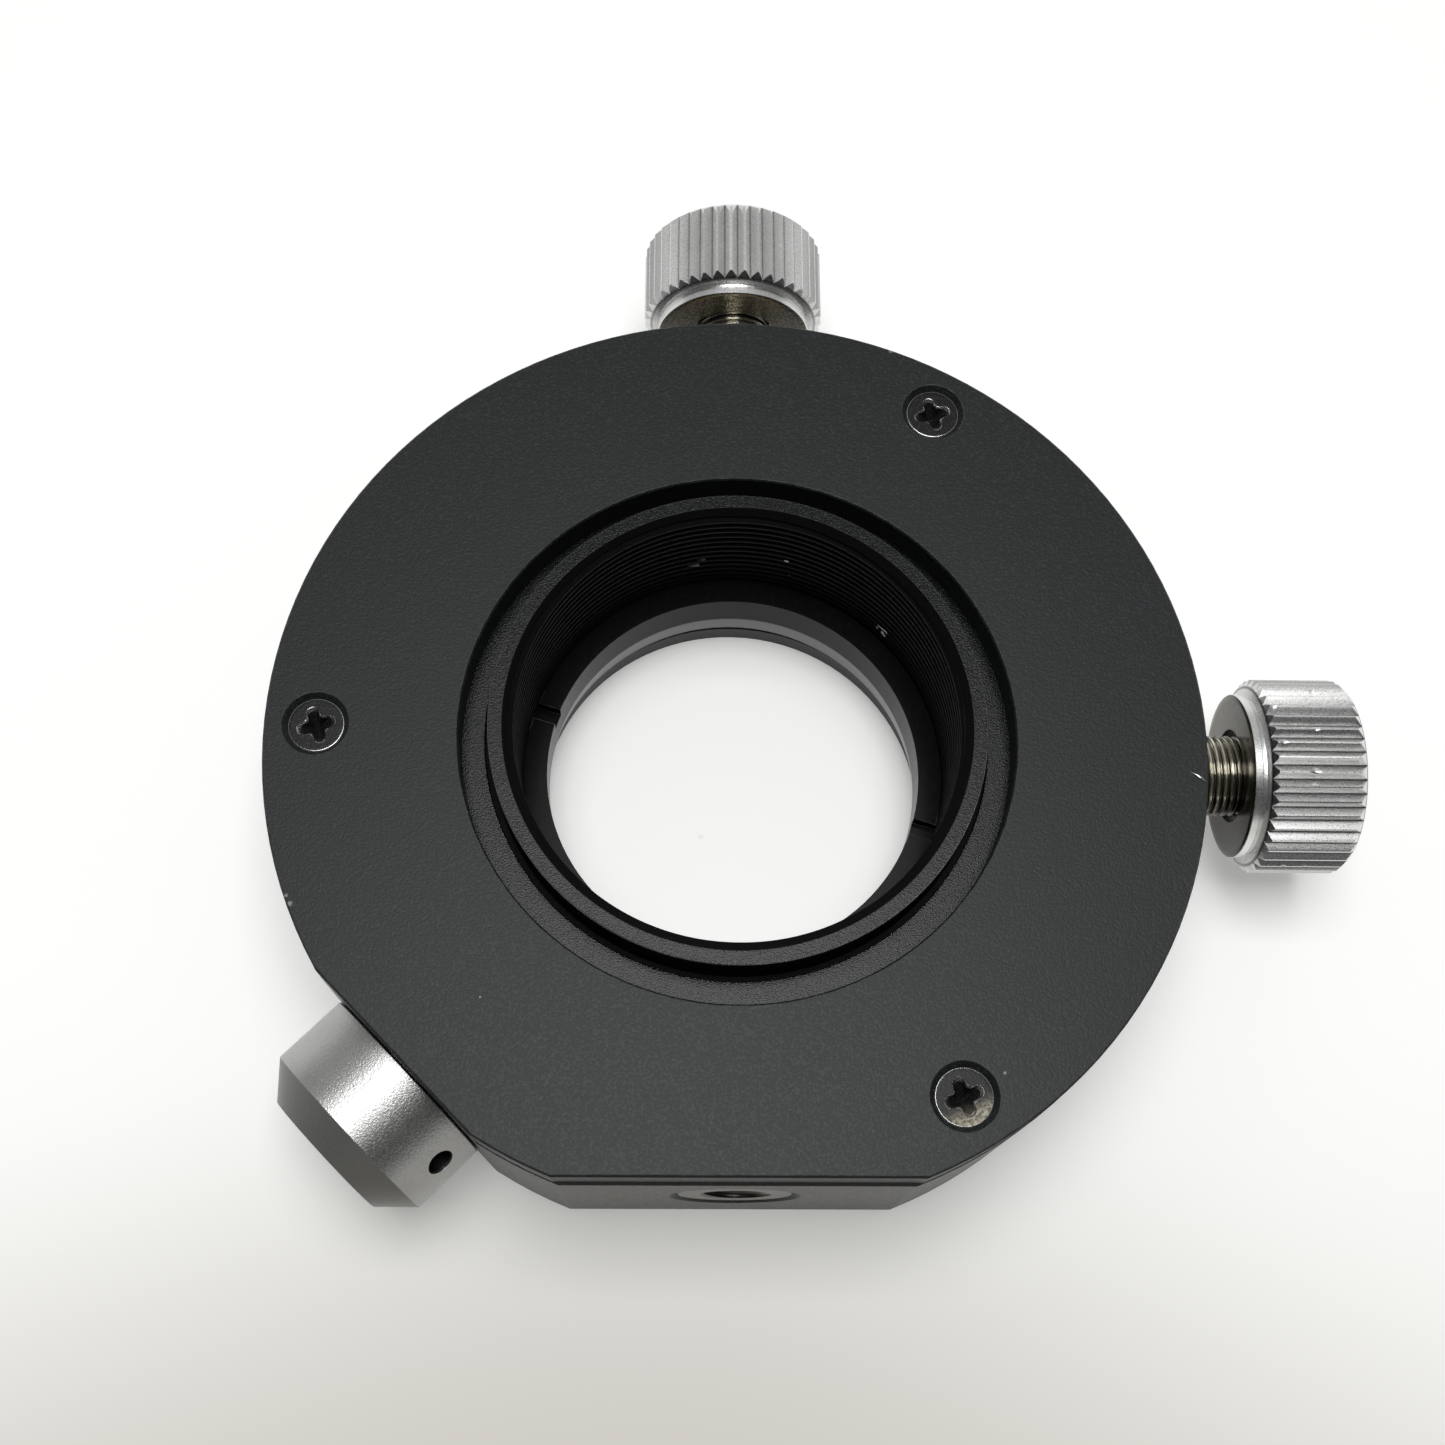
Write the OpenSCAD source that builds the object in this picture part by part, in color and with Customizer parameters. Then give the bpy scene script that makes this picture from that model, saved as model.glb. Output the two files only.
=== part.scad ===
// Two-axis centring mount for a round lens.
// The lens sits in a threaded cell that floats inside a round housing. Two fine adjusting screws push the
// cell along X and Y, and a spring plunger between them on the far side pushes it back against both.
// The origin is on the optical axis at the rear face. +Z is the optical axis towards the front cover,
// +X and +Y run out along the two adjusting screws, and the post flat faces -Y.

/* [Housing] */
// Width of the rim from the circle of the cover screws to the outside of the housing
rim_w = 2.956; // [2.2:0.001:6]
// Height of the housing from its rear face to the seat of the cover
housing_t = 13.15; // [12.6:0.05:16]
// Thickness of the rear wall under the guide ring
floor_t = 3; // [2.4:0.1:3.3]
// Thickness of the lip round the rear opening
lip_t = 1.4; // [1:0.1:2]
// How much smaller the rear opening is than the lens bore
rear_lip = 0.65; // [0.1:0.05:2.5]
// Bevel on the long edges of the housing
housing_bevel = 0.19; // [0.05:0.01:0.4]
// Bevel on the long edges of the two flats
flat_bevel = 0.23; // [0.05:0.01:0.4]
// How deep the post flat is cut into the round housing
post_cut = 1.75; // [0.8:0.05:2.4]
// How deep the plunger flat is cut into the round housing
plunger_cut = 0.75; // [0.4:0.05:1.2]

/* [Cover] */
// Thickness of the front cover
cover_t = 2.1; // [1.8:0.1:3]
// How far the rim of the cover stays inside that of the housing
cover_inset = 0.05; // [0:0.01:0.3]
// Edge break of the cover along the two flats
cover_flat_bevel = 0.13; // [0.02:0.01:0.3]
// How far the cover stays inside the post flat
cover_post_inset = 0.17; // [0:0.01:0.3]
// Edge break round the front of the cover
cover_bevel = 0.1; // [0.02:0.01:0.3]
// Gap between the cover's hole and the cell's collar with the cell at the end of its travel
cover_hole_gap = 0.23; // [0.1:0.01:0.8]

/* [Cover screws] */
// Radius of the screw shank
screw_r = 0.8; // [0.6:0.05:1]
// Radius of the flat head
screw_head_r = 1.6; // [1.4:0.05:2]
// How deep the top of the head lies under the front of the cover
screw_sink = 0.3; // [0:0.05:0.4]
// Length of the shank under the cover
screw_reach = 4; // [3:0.5:6]
// Wall between a screw hole and the cavity
screw_wall = 1.2; // [0.8:0.1:1.4]
// Radius that the cross recess reaches to
recess_r = 1.02; // [0.8:0.01:1.2]
// Width of each arm of the cross recess
recess_w = 0.5; // [0.3:0.01:0.6]
// Depth of the cross recess
recess_depth = 0.95; // [0.6:0.05:1.2]

/* [Lens cell] */
// Radius of the lens bore at the crests of its thread
lens_bore_r = 12.8; // [12:0.05:13]
// Wall of the collar round the lens bore
collar_wall = 1.41; // [1:0.01:2]
// Height of the collar above the front of the flange
collar_h = 2.5; // [2.2:0.05:4]
// Bevel at the mouth of the lens bore
mouth_bevel = 0.6; // [0.2:0.05:0.7]
// Width and depth of the groove round the foot of the collar
foot_groove = 0.35; // [0.2:0.01:0.6]
// How far the thread of the retaining ring reaches into the wall of the bore, down to its pitch line
ring_thread = 0.18; // [0.16:0.01:0.3]
// Width of the ledge that the lens rests on
seat_w = 1.4; // [0.8:0.05:1.8]
// Height of the lens seat above the rear end of the cell
seat_h = 2.4; // [1.6:0.05:3]
// How much the opening widens behind the lens seat
rear_flare = 0.4; // [0.1:0.05:0.8]
// Wall of the tube behind the flange
tube_wall = 1.4; // [1:0.05:2]
// How far the rim of the sliding flange stays inside that of the guide ring
flange_inset = 0.3; // [0.1:0.05:0.8]
// How far the cell slides each way from the centre
travel = 1; // [0.5:0.1:1.1]
// How far the cell is set towards the upper screw
cell_y = 0.4; // [-0.4:0.05:0.5]

/* [Retaining ring] */
// Thickness of the retaining ring
retainer_t = 2.67; // [1.5:0.05:4]
// How much smaller the opening in the retaining ring is than the lens bore
retainer_w = 1.4; // [0.8:0.05:2]
// Width of the two spanner slots
spanner_w = 1; // [0.6:0.05:1.6]
// Depth of the two spanner slots
spanner_depth = 0.9; // [0.5:0.05:1.2]
// Direction of the spanner slots
spanner_angle = -17.5; // [-90:0.5:90]

/* [Guide ring] */
// Thickness of the guide ring
guide_t = 2; // [1.6:0.1:2.3]
// Width of the ring left inside the pin slots
guide_lip = 0.5; // [0.4:0.05:1.5]
// Width of the ring left outside the pin slots
guide_edge = 1.1; // [0.8:0.1:1.3]
// Radius of the guide pins
pin_r = 0.75; // [0.5:0.05:0.85]
// How far a pin reaches into the flange, and how deep it is pressed in
pin_reach = 0.7; // [0.4:0.05:0.8]
// Depth of the holes that the lower pins are pressed into
pin_grip = 2.2; // [1.4:0.1:2.3]

/* [Adjusting screws] */
// Radius of the fine thread
spindle_r = 2.45; // [2.2:0.05:2.6]
// Radius of the hardened ball in the tip
ball_r = 1.2; // [1:0.05:1.4]
// How far the ball stands out of the tip
ball_out = 0.7; // [0.4:0.05:0.9]
// Radius of the plain nose round the ball
nose_r = 1.75; // [1.6:0.05:1.85]
// Length of the plain nose
nose_h = 1.5; // [1:0.1:2]
// Wall of the threaded bush
bush_wall = 1.12; // [0.8:0.01:1.4]
// How far the bush lies inside the outside of the housing
bush_sink = 0.1; // [0:0.05:0.5]
// Length of thread in view between the housing and a knob, with the cell in the centre
knob_stand = 3.5; // [2.5:0.1:6]

/* [Knobs] */
// Radius over the crests of the serrations
knob_r = 5.9; // [5.3:0.05:7]
// Length of a knob
knob_h = 6.47; // [5:0.01:10]
// Number of serrations
teeth = 42; // [36:1:44]
// Depth of a serration
tooth_depth = 0.42; // [0.3:0.01:0.5]
// Share of each serration left as a flat land on its crest
crest_share = 0.14; // [0.05:0.01:0.3]
// Turn of the X knob at rest, in degrees
x_turn = 7.8; // [0:0.1:8.5]
// Turn of the Y knob at rest, in degrees
y_turn = 5.6; // [0:0.1:8.5]
// Radius of the hub that faces the housing
hub_r = 5; // [4.4:0.05:5.2]
// Length of the hub
hub_h = 0.7; // [0.4:0.05:1.5]
// Length over which the serrations run out towards the hub
run_out = 0.32; // [0.1:0.01:0.6]
// Bevel at the outer end of a knob
knob_bevel = 0.45; // [0.1:0.05:0.6]
// Radius of the shank that is pressed into the knob
shank_r = 2; // [1.6:0.05:2.15]
// Wall left at the outer end of a knob
knob_end = 1.4; // [1:0.1:2]
// Gap round the spindle in the counterbore of the hub
counterbore_gap = 0.4; // [0.1:0.05:0.8]
// Depth of the counterbore in the hub
counterbore_depth = 0.6; // [0.3:0.05:1.5]

/* [Spring plunger] */
// Radius of the plunger cap
cap_r = 5.75; // [5.4:0.05:6]
// Length of the round side of the cap
cap_side = 4.45; // [3.6:0.05:7]
// Length of the bevel at the end of the cap
cap_bevel = 1.75; // [0.5:0.05:2.2]
// Gap between the cap and the plunger flat
cap_gap = 0.05; // [0:0.01:0.3]
// Radius of the threaded stem of the cap
stem_r = 4.6; // [4.4:0.05:4.7]
// Radius of the bore that holds the spring
spring_bore_r = 3.3; // [3.2:0.05:3.4]
// Wall at the closed end of the spring bore
cap_end = 1.5; // [1:0.1:2.5]
// Radius of the two pin spanner holes in the side of the cap
pin_hole_r = 0.78; // [0.5:0.02:1]
// Depth of the pin spanner holes
pin_hole_depth = 1.7; // [1:0.1:1.9]
// Distance of the pin spanner holes from the foot of the cap
pin_hole_foot = 1.95; // [1.2:0.05:2.4]
// Turn of the pin spanner holes about the cap's axis
pin_hole_angle = 24; // [-60:1:60]
// Outer radius of the return spring
spring_r = 2; // [1.7:0.05:2.1]
// Radius of the spring wire
wire_r = 0.28; // [0.2:0.01:0.32]
// Number of turns of the spring
spring_turns = 8; // [6:1:10]
// Thickness of the flange of the spring seat
seat_flange_t = 0.8; // [0.5:0.05:1]
// How far the rim of the spring seat stands out past the spring
seat_rim = 0.3; // [0.1:0.05:0.4]

/* [Post insert] */
// Radius of the steel insert
insert_r = 3.25; // [2.8:0.05:3.6]
// Radius of its threaded hole at the crests of the thread
post_thread_r = 1.65; // [1.4:0.05:2]
// Bevel round the insert's hole in the housing
insert_bevel = 0.47; // [0.2:0.01:0.6]
// How far the insert lies inside the post flat
insert_sink = 0.1; // [0:0.05:0.5]

/* [Clearances] */
// Gap left in front of and behind each sliding piece
slide_gap = 0.05; // [0.03:0.01:0.08]
// Gap on each side of a guide pin, and round a thread that turns
run_gap = 0.03; // [0.02:0.01:0.06]
// Gap round the flange with the cell at the end of its travel
rim_gap = 0.28; // [0.15:0.01:0.4]
// Gap between the ball and the pad that it pushes on
touch_gap = 0.01; // [0.01:0.01:0.05]

/* [Hidden] */
$fn = 96;

// Cutting tools reach this far past the faces they cut
over = 1;
// Directions about the optical axis
x_dir = 0;
y_dir = 90;
plunger_dir = 225;
post_dir = 270;
screw_dirs = [60, 180, 300];

// Heights, from the rear face up
total_t = housing_t + cover_t;
axis_z = total_t / 2;
guide_z = floor_t + slide_gap;
flange_z = guide_z + guide_t + slide_gap;
flange_top = housing_t - slide_gap;
collar_top = flange_top + collar_h;
cell_z = lip_t + slide_gap;
seat_z = cell_z + seat_h;
pin_slot_depth = pin_reach + slide_gap;

// Radii about the optical axis, from the lens bore outwards
diagonal_travel = norm([travel, travel]);
slot_half = pin_r + travel + slide_gap;
collar_r = lens_bore_r + collar_wall;
tube_r = lens_bore_r + tube_wall;
guide_inner_r = tube_r + travel + 2 * slide_gap;
pin_circle_r = guide_inner_r + guide_lip + slot_half;
guide_outer_r = pin_circle_r + slot_half + guide_edge;
flange_r = guide_outer_r - flange_inset;
cavity_r = flange_r + diagonal_travel + rim_gap;
screw_circle_r = cavity_r + screw_wall + screw_r;
housing_r = screw_circle_r + rim_w;
cover_r = housing_r - cover_inset;
cover_hole_r = collar_r + diagonal_travel + cover_hole_gap;
rear_step_r = tube_r + diagonal_travel + 2 * slide_gap;
rear_hole_r = lens_bore_r - rear_lip;
seat_hole_r = lens_bore_r - seat_w;
retainer_hole_r = lens_bore_r - retainer_w;
ring_top = seat_z + retainer_t;

// Distances of the flats from the optical axis
post_flat = housing_r - post_cut;
plunger_flat = housing_r - plunger_cut;

// Pads on the rim of the cell
pad_t = 1.2;
pad_face = flange_r - 0.2;
pad_w = 2 * (travel + abs(cell_y) + 0.9);
pad_wall = 0.2;
pad_h = 2 * (axis_z - flange_z - pin_slot_depth - pad_wall);

// Places along the adjusting screws, with the cell in the centre
ball_at = pad_face + touch_gap + ball_r;
nose_at = ball_at - ball_r + ball_out;
thread_at = nose_at + nose_h;
bush_r = spindle_r + run_gap + bush_wall;
bush_in = cavity_r - 0.2;
bush_out = sqrt(housing_r * housing_r - bush_r * bush_r) - bush_sink;
knob_at = housing_r + knob_stand;
shoulder_at = knob_at + counterbore_depth;
shank_end = knob_at + knob_h - knob_end;

// Places along the plunger
cap_at = plunger_flat + cap_gap;
stem_at = cavity_r + 0.1;
spring_end = cap_at + cap_side + cap_bevel - cap_end;
seat_flat = flange_r - 0.8;
seat_r = spring_r + seat_rim;
spigot_r = spring_r - 2 * wire_r - 0.15;
spigot_h = 1.2;
seat_stem_r = 1;
seat_stem_h = 1.6;

// Moves a child from the optical axis to the cell
module at_cell() { translate([0, cell_y, 0]) children(); }

// Turns a child that points along +Z so that it points out along a direction at the height of the screws
module outward(direction, height = axis_z) {
    translate([0, 0, height])
        rotate([0, 90, direction]) children();
}

// A half space outside a flat, with both of its long edges bevelled
module flat_cutter(direction, distance, z0, z1, low_bevel, high_bevel) {
    half = 2 * housing_r;
    rotate([0, 0, direction]) {
        translate([distance, -half, z0 - over]) cube([half, 2 * half, z1 - z0 + 2 * over]);
        if (high_bevel > 0)
            translate([distance - high_bevel, -half, z1])
                rotate([0, -45, 0]) translate([0, 0, -over * 2]) cube([over * 2, 2 * half, over * 4]);
        if (low_bevel > 0)
            translate([distance - low_bevel, -half, z0])
                rotate([0, 45, 0]) translate([0, 0, -over * 2]) cube([over * 2, 2 * half, over * 4]);
    }
}

// A straight slot with round ends, along X, standing on z = 0
module slot(half_length, r, h) {
    translate([-half_length + r, 0, 0]) cylinder(r = r, h = h);
    translate([half_length - r, 0, 0]) cylinder(r = r, h = h);
    translate([-half_length + r, -r, 0]) cube([2 * (half_length - r), 2 * r, h]);
}

// Disc with a bevel at both ends, standing on z = 0
module bevelled_disc(r, h, low, high) {
    rotate_extrude()
        polygon([[0, 0], [r - low, 0], [r, low], [r, h - high], [r - high, h], [0, h]]);
}

module housing() {
    color([0.1, 0.1, 0.105])
    difference() {
        bevelled_disc(housing_r, housing_t, housing_bevel, housing_bevel);
        flat_cutter(post_dir, post_flat, 0, housing_t, flat_bevel, flat_bevel);
        flat_cutter(plunger_dir, plunger_flat, 0, housing_t, flat_bevel, flat_bevel);
        // Cavity, with a deeper step for the rear tube of the cell and the opening behind it
        translate([0, 0, floor_t]) cylinder(r = cavity_r, h = housing_t);
        translate([0, 0, lip_t]) cylinder(r = rear_step_r, h = housing_t);
        translate([0, 0, -over]) cylinder(r = rear_hole_r, h = housing_t);
        // Seats of the two threaded bushes
        for (direction = [x_dir, y_dir])
            outward(direction) translate([0, 0, rear_hole_r]) cylinder(r = bush_r, h = housing_r);
        // Tapped hole of the plunger cap
        outward(plunger_dir) translate([0, 0, rear_hole_r]) cylinder(r = stem_r, h = housing_r);
        // Seat of the post insert, bevelled at the flat
        outward(post_dir) {
            translate([0, 0, rear_hole_r]) cylinder(r = insert_r, h = housing_r);
            translate([0, 0, post_flat - insert_bevel])
                cylinder(r1 = insert_r, r2 = insert_r + insert_bevel + over, h = insert_bevel + over);
        }
        // Tapped holes of the cover screws
        for (direction = screw_dirs)
            rotate([0, 0, direction])
                translate([screw_circle_r, 0, housing_t - screw_reach - 0.5])
                    cylinder(r = screw_r, h = screw_reach + over, $fn = 32);
        // Blind holes of the lower guide pins
        for (side = [-1, 1])
            translate([side * pin_circle_r, 0, floor_t - pin_grip]) cylinder(r = pin_r, h = floor_t, $fn = 32);
    }
}

module cover_plate() {
    sink_r = screw_head_r + screw_sink;
    hole_r = screw_r + 0.1;
    color([0.2, 0.205, 0.21])
    difference() {
        translate([0, 0, housing_t]) bevelled_disc(cover_r, cover_t, 0, cover_bevel);
        flat_cutter(post_dir, post_flat - cover_post_inset, housing_t, total_t, 0, cover_flat_bevel);
        flat_cutter(plunger_dir, plunger_flat, housing_t, total_t, 0, cover_flat_bevel);
        translate([0, 0, housing_t - over]) cylinder(r = cover_hole_r, h = cover_t + 2 * over);
        translate([0, 0, total_t - cover_bevel])
            cylinder(r1 = cover_hole_r, r2 = cover_hole_r + cover_bevel + over, h = cover_bevel + over);
        for (direction = screw_dirs)
            rotate([0, 0, direction]) translate([screw_circle_r, 0, 0]) {
                translate([0, 0, housing_t - over]) cylinder(r = hole_r, h = cover_t + over, $fn = 32);
                translate([0, 0, total_t - sink_r + hole_r])
                    cylinder(r1 = hole_r, r2 = sink_r + over, h = sink_r - hole_r + over, $fn = 48);
            }
    }
}

// Flat-headed screw whose head top lies on z = 0, with a cross recess
module cover_screw() {
    head_h = screw_head_r - screw_r;
    difference() {
        rotate_extrude($fn = 48)
            polygon([[0, 0], [screw_head_r, 0], [screw_r, -head_h],
                [screw_r, screw_sink - cover_t - screw_reach], [0, screw_sink - cover_t - screw_reach]]);
        intersection() {
            union() {
                for (turn = [0, 90])
                    rotate([0, 0, turn])
                        translate([-recess_r, -recess_w / 2, -recess_depth])
                            cube([2 * recess_r, recess_w, recess_depth + over]);
            }
            translate([0, 0, -recess_depth])
                cylinder(r1 = recess_w / 2, r2 = recess_r * (1 + over / recess_depth), h = recess_depth + over,
                    $fn = 32);
        }
    }
}

module cover_screws() {
    recess_turns = [47, 19, 89];
    color([0.06, 0.06, 0.065])
    for (i = [0:2])
        rotate([0, 0, screw_dirs[i]])
            translate([screw_circle_r, 0, total_t - screw_sink])
                rotate([0, 0, recess_turns[i]]) cover_screw();
}

module post_insert() {
    insert_in = cavity_r + 0.05;
    insert_out = post_flat - insert_sink;
    color([0.72, 0.72, 0.7])
    outward(post_dir)
        difference() {
            translate([0, 0, insert_in]) bevelled_disc(insert_r, insert_out - insert_in, 0.1, 0.1);
            translate([0, 0, insert_in - over]) cylinder(r = post_thread_r, h = housing_r);
            translate([0, 0, insert_out - 0.3])
                cylinder(r1 = post_thread_r, r2 = post_thread_r + 0.3 + over, h = 0.3 + over);
        }
}

module guide_pin(h) { bevelled_disc(pin_r, h, 0.1, 0.1); }

module floor_pins() {
    color([0.75, 0.75, 0.76])
    for (side = [-1, 1])
        translate([side * pin_circle_r, 0, floor_t - pin_grip])
            guide_pin(pin_grip + slide_gap + guide_t - 0.3);
}

// Cross-slide ring: it runs along X on the lower pins and carries the upper pins that guide the cell along Y
module guide_ring() {
    color([0.78, 0.62, 0.32])
    translate([0, 0, guide_z])
        difference() {
            bevelled_disc(guide_outer_r, guide_t, 0.2, 0.2);
            translate([0, 0, -over]) cylinder(r = guide_inner_r, h = guide_t + 2 * over);
            for (side = [-1, 1]) {
                translate([side * pin_circle_r, 0, -over])
                    slot(slot_half, pin_r + run_gap, guide_t + 2 * over, $fn = 32);
                translate([0, side * pin_circle_r, -over])
                    cylinder(r = pin_r, h = guide_t + 2 * over, $fn = 32);
            }
        }
}

module ring_pins() {
    color([0.75, 0.75, 0.76])
    for (side = [-1, 1])
        translate([0, side * pin_circle_r, guide_z + 0.1])
            guide_pin(guide_t - 0.1 + slide_gap + pin_reach);
}

module pad_block(grow) {
    translate([pad_face - pad_t, -pad_w / 2 - grow, axis_z - pad_h / 2 - grow])
        cube([pad_t, pad_w + 2 * grow, pad_h + 2 * grow]);
}

module lens_cell() {
    color([0.13, 0.13, 0.135])
    at_cell()
    difference() {
        rotate_extrude()
            polygon([[seat_hole_r + rear_flare, cell_z], [tube_r - 0.2, cell_z], [tube_r, cell_z + 0.2],
                [tube_r, flange_z], [flange_r - 0.2, flange_z], [flange_r, flange_z + 0.2],
                [flange_r, flange_top - 0.1], [flange_r - 0.1, flange_top],
                [collar_r + foot_groove, flange_top], [collar_r + foot_groove, flange_top - foot_groove],
                [collar_r, flange_top - foot_groove], [collar_r, collar_top],
                [lens_bore_r + mouth_bevel, collar_top], [lens_bore_r, collar_top - mouth_bevel],
                [lens_bore_r, ring_top + slide_gap], [lens_bore_r + ring_thread, ring_top + slide_gap],
                [lens_bore_r + ring_thread, seat_z], [seat_hole_r, seat_z], [seat_hole_r, seat_z - 0.2]]);
        // Pockets of the two hardened pads, open at the rim
        for (direction = [x_dir, y_dir])
            rotate([0, 0, direction])
                translate([pad_face - pad_t, -pad_w / 2, axis_z - pad_h / 2])
                    cube([flange_r, pad_w, pad_h]);
        // Slots that run on the upper guide pins
        for (side = [-1, 1])
            translate([0, side * pin_circle_r, flange_z - over])
                rotate([0, 0, 90]) slot(slot_half, pin_r + run_gap, pin_slot_depth + over, $fn = 32);
        // Flat and hole of the spring seat
        rotate([0, 0, plunger_dir])
            translate([seat_flat, -flange_r, flange_z - over])
                cube([flange_r, 2 * flange_r, flange_top - flange_z + 2 * over]);
        outward(plunger_dir)
            translate([0, 0, seat_flat - seat_stem_h - 0.2]) cylinder(r = seat_stem_r, h = flange_r, $fn = 32);
    }
}

module retaining_ring() {
    ring_r = lens_bore_r + ring_thread - run_gap;
    color([0.08, 0.08, 0.085])
    at_cell()
    translate([0, 0, seat_z])
        difference() {
            bevelled_disc(ring_r, retainer_t, 0.15, 0.15);
            translate([0, 0, -over]) cylinder(r = retainer_hole_r, h = retainer_t + 2 * over);
            rotate([0, 0, spanner_angle])
                translate([-ring_r - over, -spanner_w / 2, retainer_t - spanner_depth])
                    cube([2 * (ring_r + over), spanner_w, spanner_depth + over]);
        }
}

module pad(direction) {
    color([0.7, 0.7, 0.72])
    at_cell() rotate([0, 0, direction]) pad_block(0);
}

module x_pad() { pad(x_dir); }

module y_pad() { pad(y_dir); }

module spring_seat() {
    color([0.72, 0.72, 0.7])
    at_cell()
    outward(plunger_dir)
        rotate_extrude($fn = 64)
            polygon([[0, seat_flat - seat_stem_h], [seat_stem_r - 0.15, seat_flat - seat_stem_h],
                [seat_stem_r, seat_flat - seat_stem_h + 0.15], [seat_stem_r, seat_flat],
                [seat_r, seat_flat], [seat_r, seat_flat + seat_flange_t],
                [spigot_r, seat_flat + seat_flange_t], [spigot_r, seat_flat + seat_flange_t + spigot_h - 0.3],
                [spigot_r - 0.3, seat_flat + seat_flange_t + spigot_h],
                [0, seat_flat + seat_flange_t + spigot_h]]);
}

// Height of the wire's centre after a share of the turns: closed turns at both ends, even pitch between
function wire_height(share, length) =
    let (turn = share * spring_turns, closed = 2 * wire_r)
    wire_r + (turn < 1 ? turn * closed
        : turn > spring_turns - 1 ? length - 2 * wire_r - (spring_turns - turn) * closed
        : closed + (turn - 1) * (length - 2 * wire_r - 2 * closed) / (spring_turns - 2));

// Coil spring standing on z = 0, swept as rings of points joined by quads
module coil(length) {
    sides = 8;
    per_turn = 16;
    rings = spring_turns * per_turn;
    mean_r = spring_r - wire_r;
    points = [for (i = [0:rings]) for (j = [0:sides - 1])
        let (a = 360 * i / per_turn, b = 360 * j / sides, r = mean_r + wire_r * cos(b))
        [r * cos(a), r * sin(a), wire_height(i / rings, length) + wire_r * sin(b)]];
    walls = [for (i = [0:rings - 1]) for (j = [0:sides - 1])
        let (k = (j + 1) % sides)
        [i * sides + j, i * sides + k, (i + 1) * sides + k, (i + 1) * sides + j]];
    start = [for (j = [0:sides - 1]) sides - 1 - j];
    finish = [for (j = [0:sides - 1]) rings * sides + j];
    polyhedron(points = points, faces = concat([start], walls, [finish]), convexity = 10);
}

// The spring leans a little, because the cell that it pushes is off centre
module return_spring() {
    from_cap = spring_end * [cos(plunger_dir), sin(plunger_dir)];
    on_seat = (seat_flat + seat_flange_t) * [cos(plunger_dir), sin(plunger_dir)] + [0, cell_y];
    way = on_seat - from_cap;
    clear = 0.05;
    color([0.7, 0.7, 0.68])
    translate([from_cap[0], from_cap[1], axis_z])
        rotate([0, 90, atan2(way[1], way[0])])
            translate([0, 0, clear]) coil(norm(way) - 2 * clear);
}

module plunger_cap() {
    cap_tip = cap_at + cap_side + cap_bevel;
    color([0.62, 0.62, 0.61])
    outward(plunger_dir)
        difference() {
            rotate_extrude()
                polygon([[0, stem_at], [stem_r - 0.2, stem_at], [stem_r, stem_at + 0.2], [stem_r, cap_at],
                    [cap_r - 0.1, cap_at], [cap_r, cap_at + 0.1], [cap_r, cap_at + cap_side],
                    [cap_r - cap_bevel, cap_tip], [0, cap_tip]]);
            translate([0, 0, stem_at - over]) cylinder(r = spring_bore_r, h = spring_end - stem_at + over);
            for (turn = [0, 180])
                rotate([0, 0, turn + 90 + pin_hole_angle])
                    translate([cap_r - pin_hole_depth, 0, cap_at + pin_hole_foot])
                        rotate([0, 90, 0]) cylinder(r = pin_hole_r, h = cap_r, $fn = 32);
        }
}

module bush(direction) {
    color([0.72, 0.58, 0.3])
    outward(direction)
        difference() {
            translate([0, 0, bush_in]) bevelled_disc(bush_r, bush_out - bush_in, 0.15, 0.15);
            translate([0, 0, bush_in - over]) cylinder(r = spindle_r + run_gap, h = housing_r);
        }
}

module ball(direction, shift) {
    color([0.8, 0.8, 0.82])
    outward(direction) translate([0, 0, ball_at + shift]) sphere(r = ball_r);
}

module spindle(direction, shift, turn) {
    color([0.6, 0.57, 0.5])
    outward(direction)
        translate([0, 0, shift])
            rotate([0, 0, turn])
                difference() {
                    rotate_extrude()
                        polygon([[0, nose_at], [nose_r - 0.2, nose_at], [nose_r, nose_at + 0.2],
                            [nose_r, thread_at], [spindle_r, thread_at + spindle_r - nose_r],
                            [spindle_r, shoulder_at], [shank_r, shoulder_at], [shank_r, shank_end - 0.2],
                            [shank_r - 0.2, shank_end], [0, shank_end]]);
                    translate([0, 0, ball_at]) sphere(r = ball_r + run_gap);
                }
}

// Outline of the serrations: straight V grooves between narrow lands
module serration_outline() {
    step = 360 / teeth;
    polygon([for (i = [0:teeth - 1]) for (corner = [[-crest_share / 2, knob_r], [crest_share / 2, knob_r],
        [0.5, knob_r - tooth_depth]])
        corner[1] * [cos((i + corner[0]) * step), sin((i + corner[0]) * step)]]);
}

// Turned form of a knob: hub, run-out of the serrations and outer bevel, with its hub face on z = 0
module knob_blank() {
    neck = 0.12;
    rotate_extrude()
        polygon([[0, 0], [hub_r - 0.1, 0], [hub_r, 0.1], [hub_r, hub_h - neck / 2], [hub_r - neck, hub_h],
            [hub_r - neck, hub_h + neck / 2], [hub_r, hub_h + neck], [knob_r + 0.01, hub_h + neck + run_out],
            [knob_r + 0.01, knob_h - knob_bevel], [knob_r - knob_bevel, knob_h], [0, knob_h]]);
}

module knob(direction, shift, turn) {
    color([0.66, 0.66, 0.65])
    outward(direction)
        translate([0, 0, knob_at + shift])
            rotate([0, 0, turn])
                difference() {
                    intersection() {
                        knob_blank();
                        translate([0, 0, -over]) linear_extrude(knob_h + 2 * over) serration_outline();
                    }
                    translate([0, 0, -over]) cylinder(r = shank_r, h = knob_h - knob_end + over);
                    translate([0, 0, -over])
                        cylinder(r = spindle_r + counterbore_gap, h = counterbore_depth + over);
                }
}

module x_bush() { bush(x_dir); }

module x_ball() { ball(x_dir, 0); }

module x_spindle() { spindle(x_dir, 0, x_turn); }

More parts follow.
